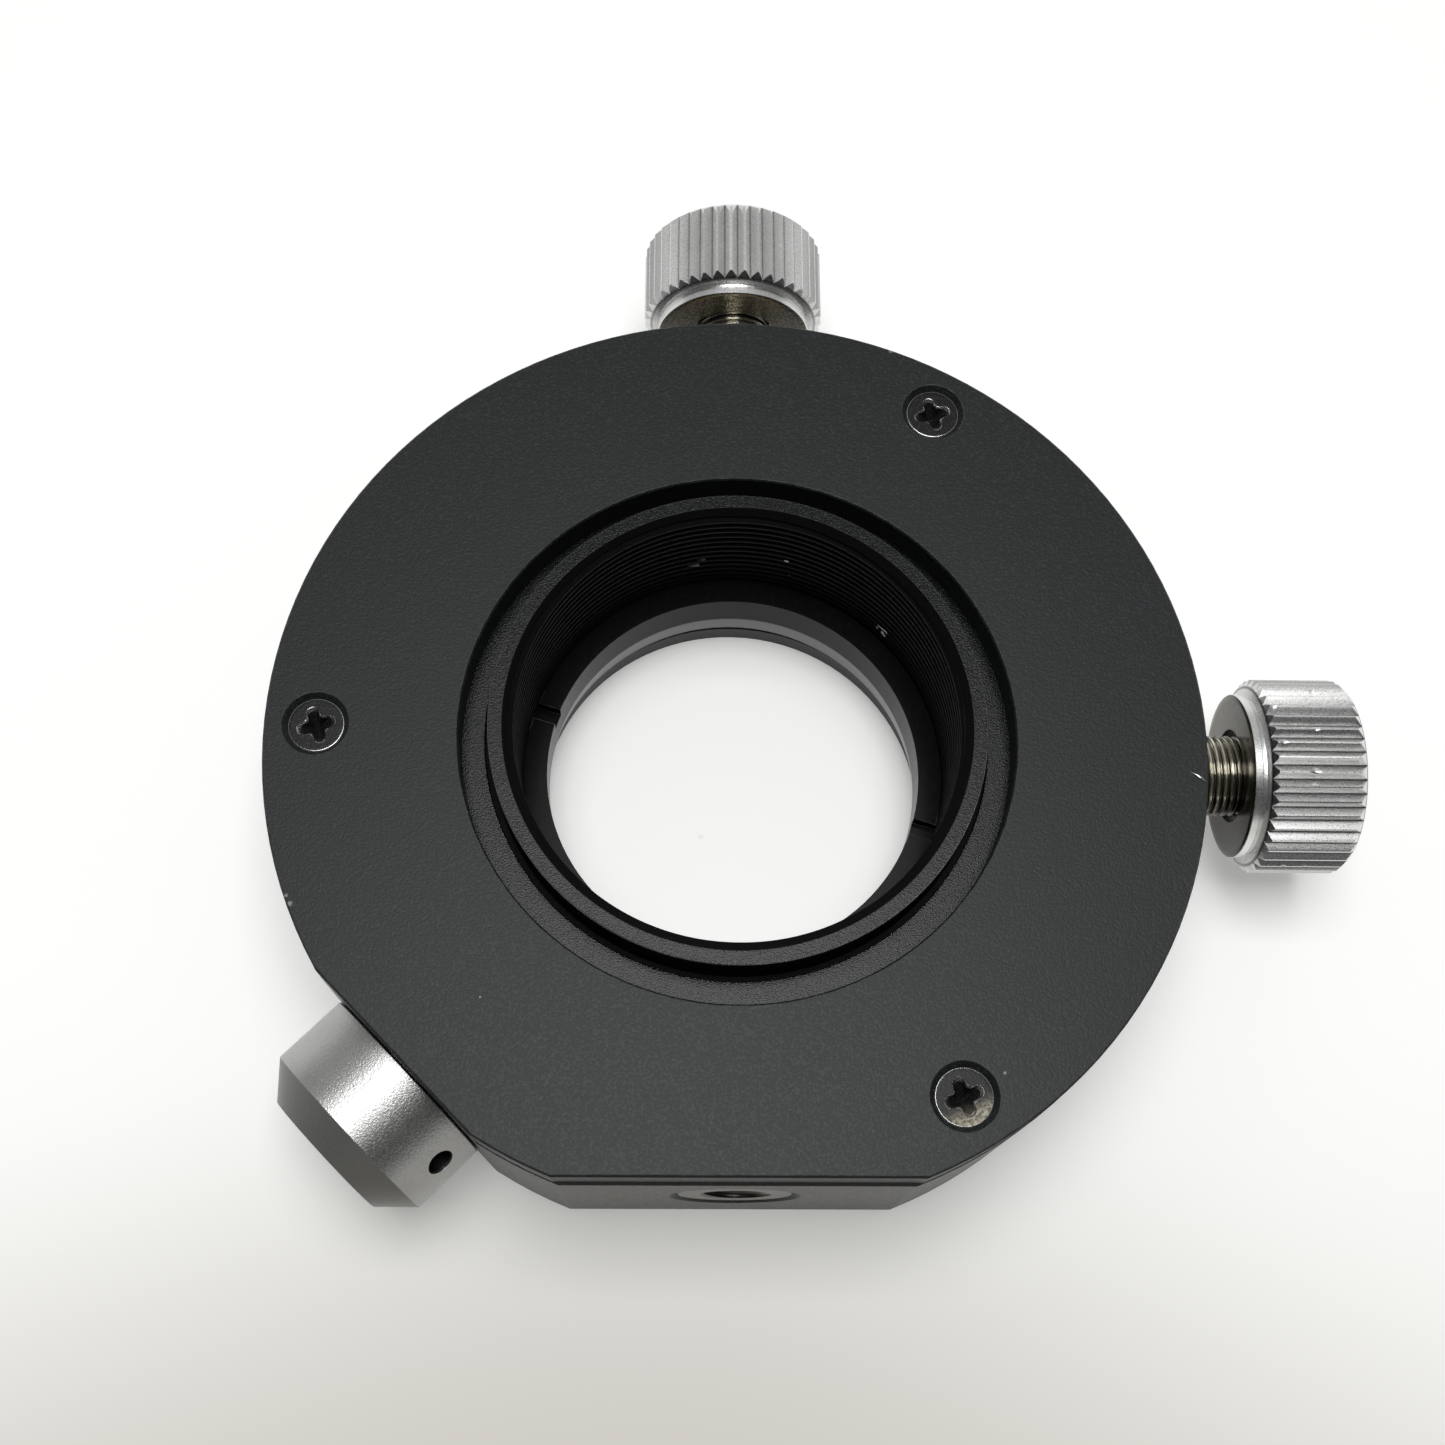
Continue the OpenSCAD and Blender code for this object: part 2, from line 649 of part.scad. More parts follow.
module x_knob() { knob(x_dir, 0, x_turn); }

module y_bush() { bush(y_dir); }

module y_ball() { ball(y_dir, cell_y); }

module y_spindle() { spindle(y_dir, cell_y, y_turn); }

module y_knob() { knob(y_dir, cell_y, y_turn); }

housing();
cover_plate();
cover_screws();
post_insert();
floor_pins();
guide_ring();
ring_pins();
lens_cell();
retaining_ring();
x_pad();
y_pad();
spring_seat();
return_spring();
plunger_cap();
x_bush();
x_ball();
x_spindle();
x_knob();
y_bush();
y_ball();
y_spindle();
y_knob();
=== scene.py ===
"""Looks of the two-axis lens mount: materials, threads, serrations, screw recesses, wear, light and camera.

Sizes are millimetres in the frame of the part: the origin is on the optical axis at the rear face, +Z is the
optical axis, and +X and +Y run out along the adjusting screws. Directions are degrees about the optical axis.
The floor, the lamp and the camera are in metres."""

import math
import random

import bmesh
import bpy
from mathutils import Matrix, Vector

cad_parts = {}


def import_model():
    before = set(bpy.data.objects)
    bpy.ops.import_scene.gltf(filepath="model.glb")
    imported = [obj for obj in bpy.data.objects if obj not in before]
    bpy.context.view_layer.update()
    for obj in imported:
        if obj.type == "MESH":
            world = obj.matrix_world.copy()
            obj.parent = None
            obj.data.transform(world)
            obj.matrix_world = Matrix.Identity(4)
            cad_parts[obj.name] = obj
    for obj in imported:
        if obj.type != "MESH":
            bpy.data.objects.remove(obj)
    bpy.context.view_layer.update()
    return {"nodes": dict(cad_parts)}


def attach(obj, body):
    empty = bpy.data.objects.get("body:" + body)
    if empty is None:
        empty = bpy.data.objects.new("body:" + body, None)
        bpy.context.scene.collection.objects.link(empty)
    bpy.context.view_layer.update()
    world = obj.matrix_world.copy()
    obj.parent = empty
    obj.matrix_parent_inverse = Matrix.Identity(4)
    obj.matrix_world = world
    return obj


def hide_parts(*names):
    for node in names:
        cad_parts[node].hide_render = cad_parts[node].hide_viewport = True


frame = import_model()
nodes = frame["nodes"]


# ------------------------------------------------------ sizes

MM = 0.001
X_DIR, Y_DIR, PLUNGER_DIR, POST_DIR = 0, 90, 225, 270
AXIS_Z = 7.625          # height of the screws above the rear face
TOTAL_T = 15.25         # front of the cover
CELL_Y = 0.4            # how far the cell is set towards the upper screw
CENTRE = 0.001          # radius that stands for a point on an axis

# Shape of a thread, in shares of its pitch
V_CREST, V_ROOT, V_MIDDLE = 0.25, 0.125, 0.28
V_STATIONS = (0.0, V_CREST / 2, V_MIDDLE, 0.5 - V_ROOT / 2, 0.5 + V_ROOT / 2, 1 - V_MIDDLE, 1 - V_CREST / 2)
FINE_CREST, FINE_ROOT, FINE_STEP = 0.24, 0.06, 0.08

# Knobs, with heights measured from the face of the hub
KNOB_AT = 30.35         # hub face with the cell in the centre
KNOB_H, KNOB_R, KNOB_BEVEL = 6.47, 5.9, 0.45
KNOB_END = 1.4          # thickness that is left behind the shank
TEETH, TOOTH = 42, 0.42    # number and depth of the teeth
LAND, TOOTH_SHOULDER, TOOTH_DROP = 0.05, 0.09, 0.03    # a crest, in shares of the spacing, and its drop
ROOT_R, SHOULDER, RUN_OUT = 5.46, 0.04, 0.32    # where the teeth run out towards the hub
HUB_R, HUB_H, NECK = 5.0, 0.7, 0.12
RIM_H, RIM_EDGE, RIM_STEP, GROOVE_R = 0.5, 0.05, 0.02, 4.84    # the hub's side ends in a groove
HUB_EASE = ((0.0, 0.07), (0.02, 0.03), (0.06, 0.0))    # heights, and how far inside the side of the hub
SINK_R, SINK_H = 2.85, 0.6    # counterbore round the spindle
X_TURN, Y_TURN = math.radians(7.8), math.radians(5.6)

# Dings: tooth, height, half length and depth of those that show, and ranges for the others
X_NICKS = [(19, 3.5, 0.12, 0.1), (22, 3.25, 0.14, 0.12), (17, 1.3, 0.08, 0.08), (20, 1.5, 0.1, 0.08)]
NICK_HALF = 0.2         # half width, in shares of the spacing
DINGS, DING_HEIGHTS, DING_LENGTHS, DING_DEPTHS = 6, (1.4, 5.9), (0.05, 0.12), (0.03, 0.07)
X_SEED, Y_SEED = 3, 8

# Spindles, with places measured from the centre of the housing
SPINDLE_R, PITCH, THREAD_DEPTH = 2.45, 0.4233, 0.22
BALL_AT, BALL_R = 21.204, 1.2
NOSE_AT, NOSE_R, NOSE_H = 20.704, 1.75, 1.5
SHANK_R, SPINDLE_EDGE = 2.0, 0.2

# Lens cell, with heights from the rear face
BORE_R, LENS_PITCH, LENS_THREAD, MOUTH = 12.8, 0.635, 0.3, 0.6
CELL_Z, TUBE_R, FLANGE_Z, FLANGE_R, FLANGE_TOP = 1.45, 14.2, 5.1, 20.2, 13.1
COLLAR_R, COLLAR_TOP, COLLAR_EDGE = 14.21, 15.6, 0.05
GROOVE, GROOVE_EDGE = 0.35, 0.06    # groove at the foot of the collar
CORNER, TOP_CORNER = 0.2, 0.1
FLANGE_MID_R, COLLAR_MID_R = 17.0, 13.8
SEAT_Z, SEAT_R, FLARE, RING_TOP, RING_THREAD, UNDERCUT = 3.85, 11.4, 0.4, 6.57, 0.18, 0.2
PIN_AT, SLOT_HALF, SLOT_R, SLOT_DEPTH = 17.6, 1.8, 0.78, 0.75
PAD_IN, PAD_HALF, PAD_H = 18.8, 2.3, 3.15
SEAT_FLAT, STEM_R, STEM_H = 19.4, 1.0, 1.8
CUT_R, CUT_HALF, CUT_OVER = 23.0, 20.0, 1.0    # how far the cutters reach past the cell

# Post insert, with places measured from the optical axis
POST_FLAT = 25.1
INSERT_IN, INSERT_OUT, INSERT_R, INSERT_EDGE, INSERT_MID_R = 21.944, 25.0, 3.25, 0.1, 2.6
POST_R, POST_PITCH, POST_DEPTH, POST_MOUTH = 1.65, 0.7, 0.38, 0.3

# Cover screws
SCREW_TURNS = {60: 45, 180: 19, 300: 81}    # turn of the cross in the screw of each direction
WORN_SCREW, WORN_WAY = 300, Vector((0.42, -0.91, 0))    # the screw that is worn, and towards which side
SCREW_CIRCLE_R, SCREW_SINK, COVER_T, SCREW_REACH = 23.894, 0.3, 2.1, 4.0
HEAD_R, SCREW_SHANK_R, HEAD_MID_R = 1.6, 0.8, 1.35
HEAD_EDGE = ((0.05, 0.05), (0.02, 0.02), (0.006, 0.035), (0.0, 0.065))    # depths and insets
RECESS_R, RECESS_W, RECESS_DEPTH, RECESS_CORE = 1.02, 0.3, 0.95, 0.52
RECESS_EASE, RECESS_START = 0.1, 0.02    # how far the edge of the recess is worn round

# Plunger cap
CAP_BEVEL_AT = 30.6     # where its round side ends, along its axis

# Marks: chips in the edge of the cover, small grey specks on it, and scratches on the wall of the bore
COVER_CHIPS = {
    "right": ((25.44, -8.52, 15.2), 0.13),
    "top": ((9.55, 24.98, 15.2), 0.26),
    "upper_right": ((21.86, 15.42, 15.2), 0.12),
    "left": ((-24.69, -10.03, 15.2), 0.17),
    "left_low": ((-24.42, -10.48, 15.2), 0.2),
}
COVER_NICK_SHADE = ((-24.62, -10.22, 15.2), 0.1)
COVER_SPECKS = {"left": ((-13.88, -15.55, 15.25), 0.07), "right": ((14.12, -19.45, 15.25), 0.1)}
BORE_SCRATCHES = {
    "upper": ((-2.44, 13.0, 9.99), (-1.88, 13.09, 9.94), 0.32),
    "upper_low": ((-2.88, 12.9, 9.33), (-2.25, 13.03, 9.28), 0.3),
    "right": ((9.07, 9.48, 8.25), (9.5, 9.02, 8.3), 0.3),
    "right_end": ((8.89, 9.65, 7.96), (9.0, 9.54, 7.87), 0.22),
    "right_low": ((9.31, 9.22, 7.79), (9.48, 9.05, 7.68), 0.26),
    "middle": ((3.1, 12.82, 10.43), (3.25, 12.79, 10.4), 0.18),
    "low": ((3.34, 12.76, 8.56), (3.46, 12.73, 8.54), 0.14),
}
SLOT_ENDS, SLOT_END_R = ((11.64, -3.27, 6.5), (-11.64, 4.07, 6.5)), 1.6    # of the retaining ring
BURR = ((25.6, -2.42, 15.26), (25.82, -2.52, 15.3), (26.03, -2.66, 15.31), (26.24, -2.81, 15.3),
        (26.46, -3.0, 15.27))
BURR_TIP, BURR_BODY, BURR_FLAT = 0.008, 0.05, 1.3    # radius at its ends, what the middle adds, flatness


# ------------------------------------------------------ meshes

SHARP = math.radians(32)
JOIN = 0.0005 * MM      # points closer than this are one point
CUTTER_AROUND = 24


def outward(direction):
    """Turns a shape made along +Z so that it points out of the housing along a direction."""
    return (Matrix.Translation((0, 0, AXIS_Z * MM))
            @ Matrix.Rotation(math.radians(direction), 4, "Z")
            @ Matrix.Rotation(math.radians(90), 4, "Y"))


def into_scene(name, data):
    """A new object in the scene."""
    obj = bpy.data.objects.new(name, data)
    bpy.context.scene.collection.objects.link(obj)
    return obj


def mark_edges(work):
    """Smooth faces, with the edges sharp where two faces meet at a large angle."""
    for f in work.faces:
        f.smooth = True
    for e in work.edges:
        if len(e.link_faces) == 2:
            e.smooth = e.calc_face_angle(0) < SHARP


def make_object(name, verts, faces, materials, face_slots=None, matrix=None):
    """A mesh object from points in millimetres. Points at one place are joined."""
    mesh = bpy.data.meshes.new(name)
    mesh.from_pydata([(x * MM, y * MM, z * MM) for x, y, z in verts], [], faces)
    if matrix is not None:
        mesh.transform(matrix)
    for m in materials:
        mesh.materials.append(m)
    if face_slots:
        mesh.polygons.foreach_set("material_index", face_slots)
    work = bmesh.new()
    work.from_mesh(mesh)
    bmesh.ops.remove_doubles(work, verts=work.verts, dist=JOIN)
    bmesh.ops.recalc_face_normals(work, faces=work.faces)
    mark_edges(work)
    work.to_mesh(mesh)
    work.free()
    return into_scene(name, mesh)


def turned(name, rows, angles, materials, matrix=None, bands=()):
    """A turned form: each row is (height, radius or function of the angle, material slot).
    Such a function gives a radius, or a radius and the angle that the point moves to. The slot belongs to
    the band between a row and the next one; where it is None, a thread from bands closes the gap."""
    verts, faces, slots = [], [], []
    around = len(angles)
    for height, radius, _ in rows:
        for a in angles:
            r = radius(a) if callable(radius) else radius
            r, at = r if isinstance(r, tuple) else (r, a)
            verts.append((r * math.cos(at), r * math.sin(at), height))
    for i in range(len(rows)):
        if rows[i][2] is None:
            continue
        n = (i + 1) % len(rows)
        for j in range(around):
            k = (j + 1) % around
            faces.append((i * around + j, i * around + k, n * around + k, n * around + j))
            slots.append(rows[i][2])
    for points, quads, slot in bands:
        first = len(verts)
        verts += points
        faces += [tuple(first + v for v in quad) for quad in quads]
        slots += [slot] * len(quads)
    return make_object(name, verts, faces, materials, slots, matrix)


def even_angles(count):
    """Angles at even steps round a full turn."""
    return [2 * math.pi * j / count for j in range(count)]


def thread_shape(height, angle, pitch, depth, crest, root):
    """Depth below the crest of a right-handed thread at a height and an angle. The flats on its crest and
    in its root are shares of the pitch."""
    u = (height / pitch - angle / (2 * math.pi)) % 1.0
    u = min(u, 1.0 - u)                     # 0 at the crest, 0.5 at the root
    half_crest, half_root = crest / 2, 0.5 - root / 2
    share = (u - half_crest) / (half_root - half_crest)
    return depth * min(max(share, 0.0), 1.0)


def rounded_thread(height, angle, pitch, depth, crest, root):
    """As thread_shape, with its flanks eased into the crest and the root."""
    share = thread_shape(height, angle, pitch, 1.0, crest, root)
    return depth * share * share * (3 - 2 * share)


def thread_band(low, high, pitch, stations, around, radius, slot):
    """The wall of a thread between two heights. Its faces follow the helix, so crests and roots are clean.
    stations are shares of the pitch at which the profile is sampled; radius is a function of height and
    angle."""
    turns = math.ceil((high - low) / pitch) + 1
    start = math.floor(low / pitch) - 1
    marks = [*stations, stations[0] + 1.0]
    verts, faces = [], []
    for s in range((turns + 1) * around + 1):
        angle = 2 * math.pi * (s % around) / around
        for mark in marks:
            height = min(max(pitch * (start + s / around + mark), low), high)
            r = radius(height, angle)
            verts.append((r * math.cos(angle), r * math.sin(angle), height))
    wide = len(marks)
    for s in range((turns + 1) * around):
        for k in range(wide - 1):
            quad = (s * wide + k, s * wide + k + 1, (s + 1) * wide + k + 1, (s + 1) * wide + k)
            heights = [verts[v][2] for v in quad]
            if max(heights) > min(heights):
                faces.append(quad)
    return verts, faces, slot


def cut(obj, cutters):
    """Takes the cutters out of an object, and marks its sharp edges again."""
    for tool in cutters:
        mod = obj.modifiers.new("cut", "BOOLEAN")
        mod.operation = "DIFFERENCE"
        mod.solver = "EXACT"
        mod.object = tool
    bpy.context.view_layer.update()
    result = bpy.data.meshes.new_from_object(obj.evaluated_get(bpy.context.evaluated_depsgraph_get()))
    obj.modifiers.clear()
    obj.data = result
    work = bmesh.new()
    work.from_mesh(result)
    mark_edges(work)
    work.to_mesh(result)
    work.free()
    for tool in cutters:
        bpy.data.objects.remove(tool)


def block(low, high, matrix):
    """A box between two corners in millimetres, used as a cutter."""
    (x0, y0, z0), (x1, y1, z1) = low, high
    verts = [(x, y, z) for z in (z0, z1) for y in (y0, y1) for x in (x0, x1)]
    faces = [(0, 2, 3, 1), (4, 5, 7, 6), (0, 1, 5, 4), (2, 6, 7, 3), (0, 4, 6, 2), (1, 3, 7, 5)]
    return make_object("cutter", verts, faces, [], matrix=matrix)


def rod(low, high, radius, matrix=None):
    """A cylinder along +Z in millimetres, used as a cutter."""
    rows = [(low, CENTRE, 0), (low, radius, 0), (high, radius, 0), (high, CENTRE, 0)]
    return turned("cutter", rows, even_angles(CUTTER_AROUND), [], matrix)


# ------------------------------------------------------ building materials

EDGE_SAMPLES, EDGE_BEGINS, EDGE_FULL = 4, 0.99, 0.86    # the last two are cosines of the turn of the normal
BARE_METAL = (0.62, 0.61, 0.58)


def feed(tree, socket, value):
    """Links an output to a socket, or sets the socket to a value."""
    if hasattr(value, "is_output"):
        tree.links.new(value, socket)
    else:
        socket.default_value = value


def calculate(tree, kind, *values):
    """Result of a Math node."""
    n = tree.nodes.new("ShaderNodeMath")
    n.operation = kind
    for socket, value in zip(n.inputs, values):
        feed(tree, socket, value)
    return n.outputs[0]


def smooth_step(tree, value, low, high, out_low, out_high):
    """A smooth step from out_low to out_high as a value runs from low to high."""
    n = tree.nodes.new("ShaderNodeMapRange")
    n.interpolation_type = "SMOOTHSTEP"
    feed(tree, n.inputs["Value"], value)
    n.inputs["From Min"].default_value = low
    n.inputs["From Max"].default_value = high
    n.inputs["To Min"].default_value = out_low
    n.inputs["To Max"].default_value = out_high
    return n.outputs["Result"]


def seen_by_eye(tree):
    """1 for rays from the camera, or by way of gloss or glass, else 0."""
    path = tree.nodes.new("ShaderNodeLightPath").outputs
    either = calculate(tree, "MAXIMUM", path["Is Camera Ray"], path["Is Glossy Ray"])
    return calculate(tree, "MAXIMUM", either, path["Is Transmission Ray"])


class Look:
    """A node material built round one Principled shader. Its point is in metres, in the frame of the part."""

    def __init__(self, name, color, metallic, roughness, specular=0.5):
        self.mat = bpy.data.materials.new(name)
        self.mat.use_nodes = True
        self.tree = self.mat.node_tree
        self.tree.nodes.clear()
        self.shader = self.tree.nodes.new("ShaderNodeBsdfPrincipled")
        self.out = self.tree.nodes.new("ShaderNodeOutputMaterial")
        self.tree.links.new(self.shader.outputs[0], self.out.inputs["Surface"])
        self.point = self.tree.nodes.new("ShaderNodeTexCoord").outputs["Object"]
        self.color = (*color, 1)
        self.normal = None
        self.shader.inputs["Base Color"].default_value = self.color
        self.shader.inputs["Metallic"].default_value = metallic
        self.shader.inputs["Roughness"].default_value = roughness
        self.shader.inputs["Specular IOR Level"].default_value = specular
        self.mat.diffuse_color = self.color

    def feed(self, socket, value):
        feed(self.tree, socket, value)

    def math(self, kind, *values):
        return calculate(self.tree, kind, *values)

    def ramp(self, value, low, high, out_low=0.0, out_high=1.0):
        return smooth_step(self.tree, value, low, high, out_low, out_high)

    def times(self, result, *others):
        """Product of masks and numbers."""
        for other in others:
            result = self.math("MULTIPLY", result, other)
        return result

    def largest(self, masks):
        """The largest of several masks."""
        result = masks[0]
        for mask in masks[1:]:
            result = self.math("MAXIMUM", result, mask)
        return result

    def vector(self, kind, first, second):
        """Result of a Vector Math node."""
        n = self.tree.nodes.new("ShaderNodeVectorMath")
        n.operation = kind
        self.feed(n.inputs[0], first)
        self.feed(n.inputs[1], second)
        return n.outputs["Value"] if kind in ("DOT_PRODUCT", "DISTANCE") else n.outputs[0]

    def coordinates(self, vector=None):
        """X, Y and Z of a vector, or of the point."""
        n = self.tree.nodes.new("ShaderNodeSeparateXYZ")
        self.feed(n.inputs[0], self.point if vector is None else vector)
        return n.outputs

    def noise(self, size_mm, detail=2.0, rough=0.5):
        """Noise whose grains are about size_mm across."""
        n = self.tree.nodes.new("ShaderNodeTexNoise")
        n.inputs["Scale"].default_value = 1000.0 / size_mm
        n.inputs["Detail"].default_value = detail
        n.inputs["Roughness"].default_value = rough
        self.feed(n.inputs["Vector"], self.point)
        return n.outputs[0]

    def specks(self, spacing_mm, size_mm, share):
        """Small round specks, in a share of cells about spacing_mm across."""
        n = self.tree.nodes.new("ShaderNodeTexVoronoi")
        n.inputs["Scale"].default_value = 1000.0 / spacing_mm
        self.feed(n.inputs["Vector"], self.point)
        lucky = self.tree.nodes.new("ShaderNodeSeparateColor")
        self.feed(lucky.inputs[0], n.outputs["Color"])
        chosen = self.math("LESS_THAN", lucky.outputs[0], share)
        edge = size_mm / spacing_mm / 2
        return self.times(chosen, self.ramp(n.outputs["Distance"], edge * 0.6, edge, 1.0, 0.0))

    def paint(self, amount, color):
        """Blends a colour over what is there."""
        n = self.tree.nodes.new("ShaderNodeMix")
        n.data_type = "RGBA"
        self.feed(n.inputs["Factor"], amount)
        self.feed(n.inputs[6], self.color)
        self.feed(n.inputs[7], (*color, 1))
        self.color = n.outputs[2]
        self.feed(self.shader.inputs["Base Color"], self.color)

    def vary(self, socket, amount, low, high):
        """Lets a value of the shader run from low to high with an amount."""
        n = self.tree.nodes.new("ShaderNodeMapRange")
        self.feed(n.inputs["Value"], amount)
        n.inputs["To Min"].default_value = low
        n.inputs["To Max"].default_value = high
        self.feed(self.shader.inputs[socket], n.outputs["Result"])

    def bare(self, mask, color=BARE_METAL):
        """Shows bare metal where the mask is 1."""
        self.paint(mask, color)
        self.vary("Metallic", mask, 0.0, 1.0)

    def bump(self, height, depth_mm):
        """Lays a relief over the surface."""
        n = self.tree.nodes.new("ShaderNodeBump")
        n.inputs["Distance"].default_value = depth_mm * MM
        n.inputs["Strength"].default_value = 1.0
        self.feed(n.inputs["Height"], height)
        if self.normal is not None:
            self.feed(n.inputs["Normal"], self.normal)
        self.normal = n.outputs[0]
        self.feed(self.shader.inputs["Normal"], self.normal)

    def edges(self, radius_mm):
        """Rounds the shading of the edges, and gives 1 on an edge and 0 away from it."""
        n = self.tree.nodes.new("ShaderNodeBevel")
        n.samples = EDGE_SAMPLES
        n.inputs["Radius"].default_value = radius_mm * MM
        self.normal = n.outputs[0]
        self.feed(self.shader.inputs["Normal"], self.normal)
        face = self.tree.nodes.new("ShaderNodeNewGeometry").outputs["Normal"]
        return self.ramp(self.vector("DOT_PRODUCT", self.normal, face), EDGE_BEGINS, EDGE_FULL)

    def near(self, spot_mm, radius_mm, soft=0.5):
        """1 inside a small sphere, 0 outside, with a soft edge."""
        away = self.vector("DISTANCE", self.point, [c * MM for c in spot_mm])
        return self.ramp(away, radius_mm * (1 - soft) * MM, radius_mm * MM, 1.0, 0.0)

    def stroke(self, start_mm, end_mm, width_mm):
        """1 along a straight line between two points, 0 away from it, with a soft edge."""
        way = (Vector(end_mm) - Vector(start_mm)) * MM
        from_start = self.vector("SUBTRACT", self.point, Vector(start_mm) * MM)
        share = self.math("DIVIDE", self.vector("DOT_PRODUCT", from_start, way), way.length_squared)
        share = self.math("MAXIMUM", self.math("MINIMUM", share, 1.0), 0.0)
        away = self.vector("DISTANCE", from_start, self.vector("MULTIPLY", share, way))
        return self.ramp(away, width_mm * 0.25 * MM, width_mm * 0.5 * MM, 1.0, 0.0)

    def about_axis(self, direction):
        """Place along a horizontal axis at the height of the screws, and distance from it, in millimetres."""
        m = self.tree.nodes.new("ShaderNodeMapping")
        m.inputs["Location"].default_value = (0, 0, -AXIS_Z)
        m.inputs["Rotation"].default_value = (0, 0, -math.radians(direction))
        m.inputs["Scale"].default_value = (1 / MM, 1 / MM, 1 / MM)
        self.feed(m.inputs["Vector"], self.point)
        along, across, up = self.coordinates(m.outputs[0])
        square = self.math("ADD", self.times(across, across), self.times(up, up))
        return along, self.math("SQRT", square)

    def rings(self, distance, width_mm, depth_mm):
        """Fine turning marks at even distances from an axis."""
        n = self.tree.nodes.new("ShaderNodeTexNoise")
        n.noise_dimensions = "1D"
        n.inputs["Scale"].default_value = 1.0 / width_mm
        n.inputs["Detail"].default_value = 3.0
        self.feed(n.inputs["W"], distance)
        self.bump(n.outputs[0], depth_mm)

    def low_side_shade(self, amount, begin=1.0, full=-4.0):
        """Amount of painted shade on the side of a screw or a knob that faces the table. It begins and is
        full at two heights from the axis of the screw, in millimetres."""
        height = self.coordinates()["Z"]
        return self.ramp(height, (AXIS_Z + begin) * MM, (AXIS_Z + full) * MM, 0.0, amount)


def anodised(name, color, roughness, specular, grain_mm, grain_depth, edge_mm=0.08, edge_color=0.06,
             flecks=4.0):
    """Black anodised metal with a blasted grain, a little bare where its edges are worn, and a painted
    highlight on those edges.
    """
    look = Look(name, color, 0.0, roughness, specular)
    edge = look.edges(edge_mm)
    grain = look.noise(grain_mm, 1.0, 0.5)
    look.paint(look.ramp(grain, 0.5, 0.75), tuple(c * flecks for c in color))
    look.paint(look.ramp(look.noise(6.0), 0.3, 0.7, 0.0, 0.15), tuple(c * 0.5 for c in color))
    # Edges painted lighter: partly wear, partly a painted highlight along the thin edges.
    rubbed = look.times(edge, look.ramp(look.noise(0.7), 0.35, 0.65, 0.25, 1.0))
    look.paint(rubbed, (edge_color, edge_color, edge_color * 1.04))
    uneven = look.ramp(grain, 0.2, 0.8, roughness * 0.88, roughness * 1.12)
    look.feed(look.shader.inputs["Roughness"], look.math("SUBTRACT", uneven, look.times(rubbed, 0.2)))
    look.bump(grain, grain_depth)
    look.rubbed = rubbed
    return look


def metal(name, color, roughness, grain_mm=0.12, grain_depth=0.001, spread=0.05, edge_mm=0.06):
    """Bare metal with fine grain, a little variation in its gloss and polished edges."""
    look = Look(name, color, 1.0, roughness)
    edge = look.edges(edge_mm)
    grain = look.noise(grain_mm, 2.0, 0.6)
    look.paint(look.ramp(look.noise(2.5), 0.35, 0.7, 0.0, 0.5), tuple(c * 0.9 for c in color))
    look.paint(look.ramp(grain, 0.35, 0.65, 0.3, 0.0), tuple(c * 0.85 for c in color))
    look.paint(look.times(edge, 0.6), tuple(min(1.0, c * 1.25) for c in color))
    look.vary("Roughness", look.ramp(grain, 0.3, 0.7), roughness - spread, roughness + spread)
    look.bump(grain, grain_depth)
    return look


# ------------------------------------------------------ black materials

CHIP_GREY, NICK_SHADE = (0.27, 0.27, 0.26), (0.002, 0.002, 0.002)
WARM_REFLECTION = (0.034, 0.029, 0.017)
REFLECTION_LOW, REFLECTION_HIGH = 1.0, 13.0         # heights between which the painted reflection on the post flat grows
SLOT_GREY, WORN_METAL = (0.3, 0.3, 0.3), (0.22, 0.207, 0.162)
WORN_BEGINS, WORN_FULL, WORN_R = 0.1, 1.35, 1.9     # the first two are measured from the middle of the head
TURNED_BLACK = {"grain_mm": 0.3, "grain_depth": 0.0004, "edge_mm": 0.05, "edge_color": 0.02, "flecks": 1.3}


def cover_black():
    """The cover, with chips in its edge, painted shade in a nick in its edge, and grey specks."""
    # The cover's edge colour is raised to paint a glint along its edges, on top of the wear.
    look = anodised("cover_black", (0.0045, 0.0061, 0.0064), roughness=0.45, specular=0.28,
                    grain_mm=0.15, grain_depth=0.013, edge_color=0.13)
    chips = look.largest([look.near(*mark, 0.7) for mark in COVER_CHIPS.values()])
    ragged = look.ramp(look.noise(0.09, 3.0, 0.7), 0.4, 0.5)
    look.paint(look.times(chips, ragged), CHIP_GREY)
    look.paint(look.largest([look.near(*mark) for mark in COVER_SPECKS.values()]), CHIP_GREY)
    # Painted shade: a near-black spot where a nick is.
    look.paint(look.near(*COVER_NICK_SHADE), NICK_SHADE)
    look.paint(look.times(look.specks(1.6, 0.12, 0.12), 0.12), CHIP_GREY)
    return look


def housing_black():
    """The housing, with a painted warm reflection on the flat of the post, stronger towards the top."""
    look = anodised("housing_black", (0.0057, 0.0071, 0.0076), roughness=0.4, specular=0.33,
                    grain_mm=0.2, grain_depth=0.01)
    _, y, z = look.coordinates()
    flat = look.ramp(y, (0.04 - POST_FLAT) * MM, (0.01 - POST_FLAT) * MM)
    upper = look.ramp(z, REFLECTION_LOW * MM, REFLECTION_HIGH * MM, 0.25, 1.0)
    # Painted reflection: a warm tint on the post flat, growing towards the top.
    look.paint(look.times(flat, upper), WARM_REFLECTION)
    return look


def bore_black():
    """The dull wall of the bore, with scratches down to the metal."""
    look = anodised("bore_black", (0.0015, 0.0016, 0.0018), roughness=0.62, specular=0.095,
                    grain_mm=0.2, grain_depth=0.003, edge_mm=0.02, edge_color=0.003, flecks=2.0)
    scratches = look.largest([look.stroke(*mark) for mark in BORE_SCRATCHES.values()])
    broken = look.ramp(look.noise(0.1, 3.0, 0.7), 0.24, 0.4, 0.3, 1.0)
    look.bare(look.times(scratches, broken))
    return look


